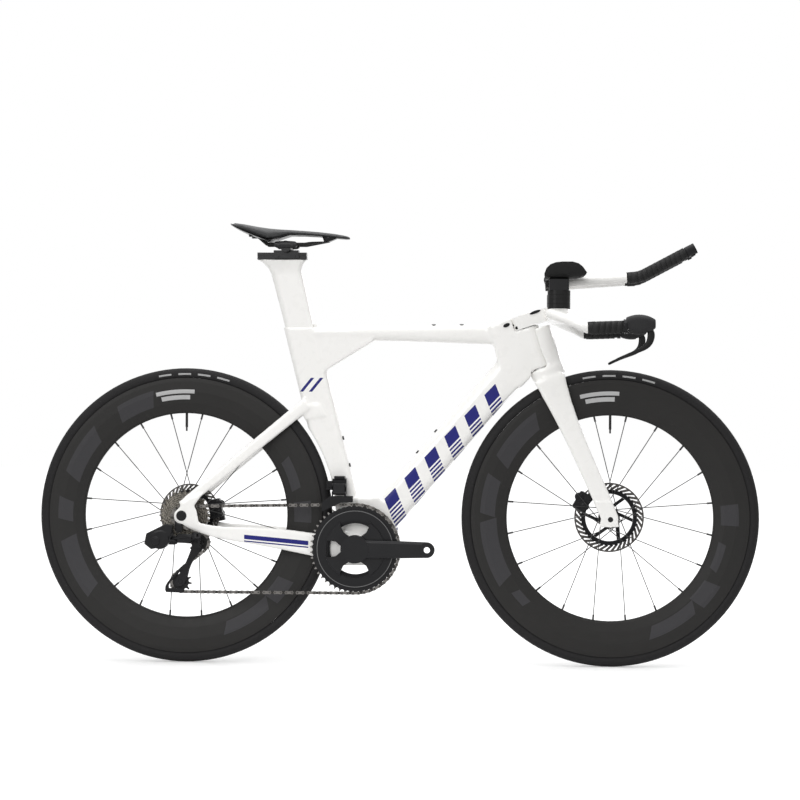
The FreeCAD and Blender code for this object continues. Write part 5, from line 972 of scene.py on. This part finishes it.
# Rear cage: two plates with a guard, the pulley axles and bolts, and the pivot; then the cover of the swing link
cagePlate = {"plates": [(-0.0704, -0.0686), (-0.0594, -0.0576)], "axle": 0.0030, "bolt": 0.0044, "head": 0.0012,
             "pivot": 0.0060, "pivotTo": -0.0822, "guardInset": 0.0002, "edge": 0.0005,
             # along from the guide pulley to the tension pulley and across towards the front, in millimetres
             "outline": [(-11, 0), (-8, 7.5), (0, 11), (12, 11.5), (24, 10.5), (34, 7.5), (44, 5.4), (54, 4.8),
                         (66, 5.6), (78, 8.2), (90, 10.6), (100, 10.2), (108, 6), (112, -2), (111, -9), (104, -12.5),
                         (92, -12), (80, -9.6), (68, -8.2), (54, -7.8), (40, -8.2), (26, -9.2), (12, -10.6),
                         (0, -11), (-8, -7.5)],
             "guard": [(54, -6), (60, -10), (72, -15), (112, -26.5), (122, -27.5), (131, -24.5), (135, -20),
                       (120, 15), (113, 15), (112, 10), (125, -19), (120, -22), (113, -22), (76, -10.5), (64, -4)]}
shape = bmesh.new()
for form, inset in (("outline", 0), ("guard", cagePlate["guardInset"])):
    outline = [pulleys["guide"] + (cageWay * along + Vector((-cageWay.y, cageWay.x)) * across) / 1000
               for along, across in cagePlate[form]]
    for low, high in cagePlate["plates"]:
        prism(shape, outline, low + inset, high - inset)
low, high = cagePlate["plates"][0][0], cagePlate["plates"][1][1]
for spot in pulleys.values():
    disc(shape, (spot.x, (low + high) / 2, spot.y), cagePlate["axle"], high - low)
    for y in (low - cagePlate["head"] / 2, high + cagePlate["head"] / 2):
        disc(shape, (spot.x, y, spot.y), cagePlate["bolt"], cagePlate["head"])
disc(shape, (pulleys["guide"].x, (cagePlate["pivotTo"] + low) / 2, pulleys["guide"].y), cagePlate["pivot"],
     low - cagePlate["pivotTo"])
faceOut(shape)
piece = newPiece("cagePlate", shape, "rear_cage", smooth=False)
roundEdges(piece, cagePlate["edge"])
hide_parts("derailleur_cage")
linkCover = {"z": 0.2900, "wide": 0.0072, "rings": [(-0.4960, -0.0862, 0.0060), (-0.4925, -0.0873, 0.0105),
                                                    (-0.4630, -0.0958, 0.0105), (-0.4595, -0.0968, 0.0060)]}
rings = [(Vector((x, y, linkCover["z"])), 0, linkCover["wide"], tall) for x, y, tall in linkCover["rings"]]
newPiece("linkCover", swept(rings, 24, 0.7), "rear_swing_link")
print("rotors, star and derailleur details ready")

# Studio: pale floor, white surround, and one broad lamp overhead, one in front and one behind
studio = {"floor": 14.0, "floorTones": (grey(0.90), grey(0.91)), "farTone": grey(0.3), "rough": 0.9, "specular": 0.1,
          "grain": 18, "long": 0.5, "lift": 0.2, "near": 0.45, "far": 1.1, "fill": 0.52,
          "lamps": [("overheadLamp", (0.2, -0.2, 3.4), (0, 0, 0.4), 3.2, 80),
                    ("frontLamp", (-1.6, -4.2, 2.2), (0, 0, 0.5), 2.2, 72),
                    ("backLamp", (1.6, 4.2, 2.2), (0, 0, 0.5), 2.2, 66)]}


def cameraShare(tree):
    paths = tree.nodes.new("ShaderNodeLightPath")
    seen = Sock(tree, paths.outputs["Is Camera Ray"]) + Sock(tree, paths.outputs["Is Glossy Ray"])
    return (seen + Sock(tree, paths.outputs["Is Transmission Ray"])) > 0.5


world = bpy.data.worlds.new("studioWorld")
scene.world = world
world.use_nodes = True
surround = world.node_tree.nodes["Background"]
surround.inputs["Color"].default_value = grey(1)
feed(surround, {"Strength": cameraShare(world.node_tree) * (1 - studio["fill"]) + studio["fill"]})

shape = bmesh.new()
bmesh.ops.create_grid(shape, x_segments=8, y_segments=8, size=studio["floor"])
studioFloor = bpy.data.objects.new("studioFloor", toMesh("studioFloor", shape))
scene.collection.objects.link(studioFloor)
floorFinish, floorShader, floorPlace = newFinish("floorFinish", {
    "Roughness": studio["rough"], "Specular IOR Level": studio["specular"], "Emission Strength": 1})
floorX, floorY, floorZ = floorPlace.axes()
outward = (floorX * floorX * studio["long"] + floorY * floorY).root()
far = outward.add("ShaderNodeMapRange", {"interpolation_type": "SMOOTHSTEP"},
                  {"Value": outward, "From Min": studio["near"], "From Max": studio["far"]})
lifted = cameraShare(floorFinish.node_tree) * (far * (1 - studio["lift"]) + studio["lift"])
pale = floorPlace.noise(studio["grain"]).mix(*studio["floorTones"])
feed(floorShader, {"Base Color": far.mix(pale, studio["farTone"]), "Emission Color": lifted.mix(grey(0), grey(1))})
studioFloor.data.materials.append(floorFinish)
for name, place, target, size, power in studio["lamps"]:
    data = bpy.data.lights.new(name, "AREA")
    data.size = size
    data.energy = power
    lamp = bpy.data.objects.new(name, data)
    lamp.location = place
    lamp.rotation_euler = (Vector(target) - Vector(place)).to_track_quat("-Z", "Y").to_euler()
    scene.collection.objects.link(lamp)

# Camera at the photograph's place
view = {"place": (0.31, -5.1, 0.607), "target": (0.006, 0, 0.607), "lens": 100, "sensor": 36, "roll": 0.3}
cameraData = bpy.data.cameras.new("sideCamera")
cameraData.lens = view["lens"]
cameraData.sensor_width = view["sensor"]
camera = bpy.data.objects.new("sideCamera", cameraData)
camera.location = view["place"]
aim = (Vector(view["target"]) - Vector(view["place"])).to_track_quat("-Z", "Y")
camera.rotation_euler = (aim.to_matrix() @ Matrix.Rotation(math.radians(view["roll"]), 3, "Z")).to_euler()
scene.collection.objects.link(camera)
scene.camera = camera
print("studio and camera ready")
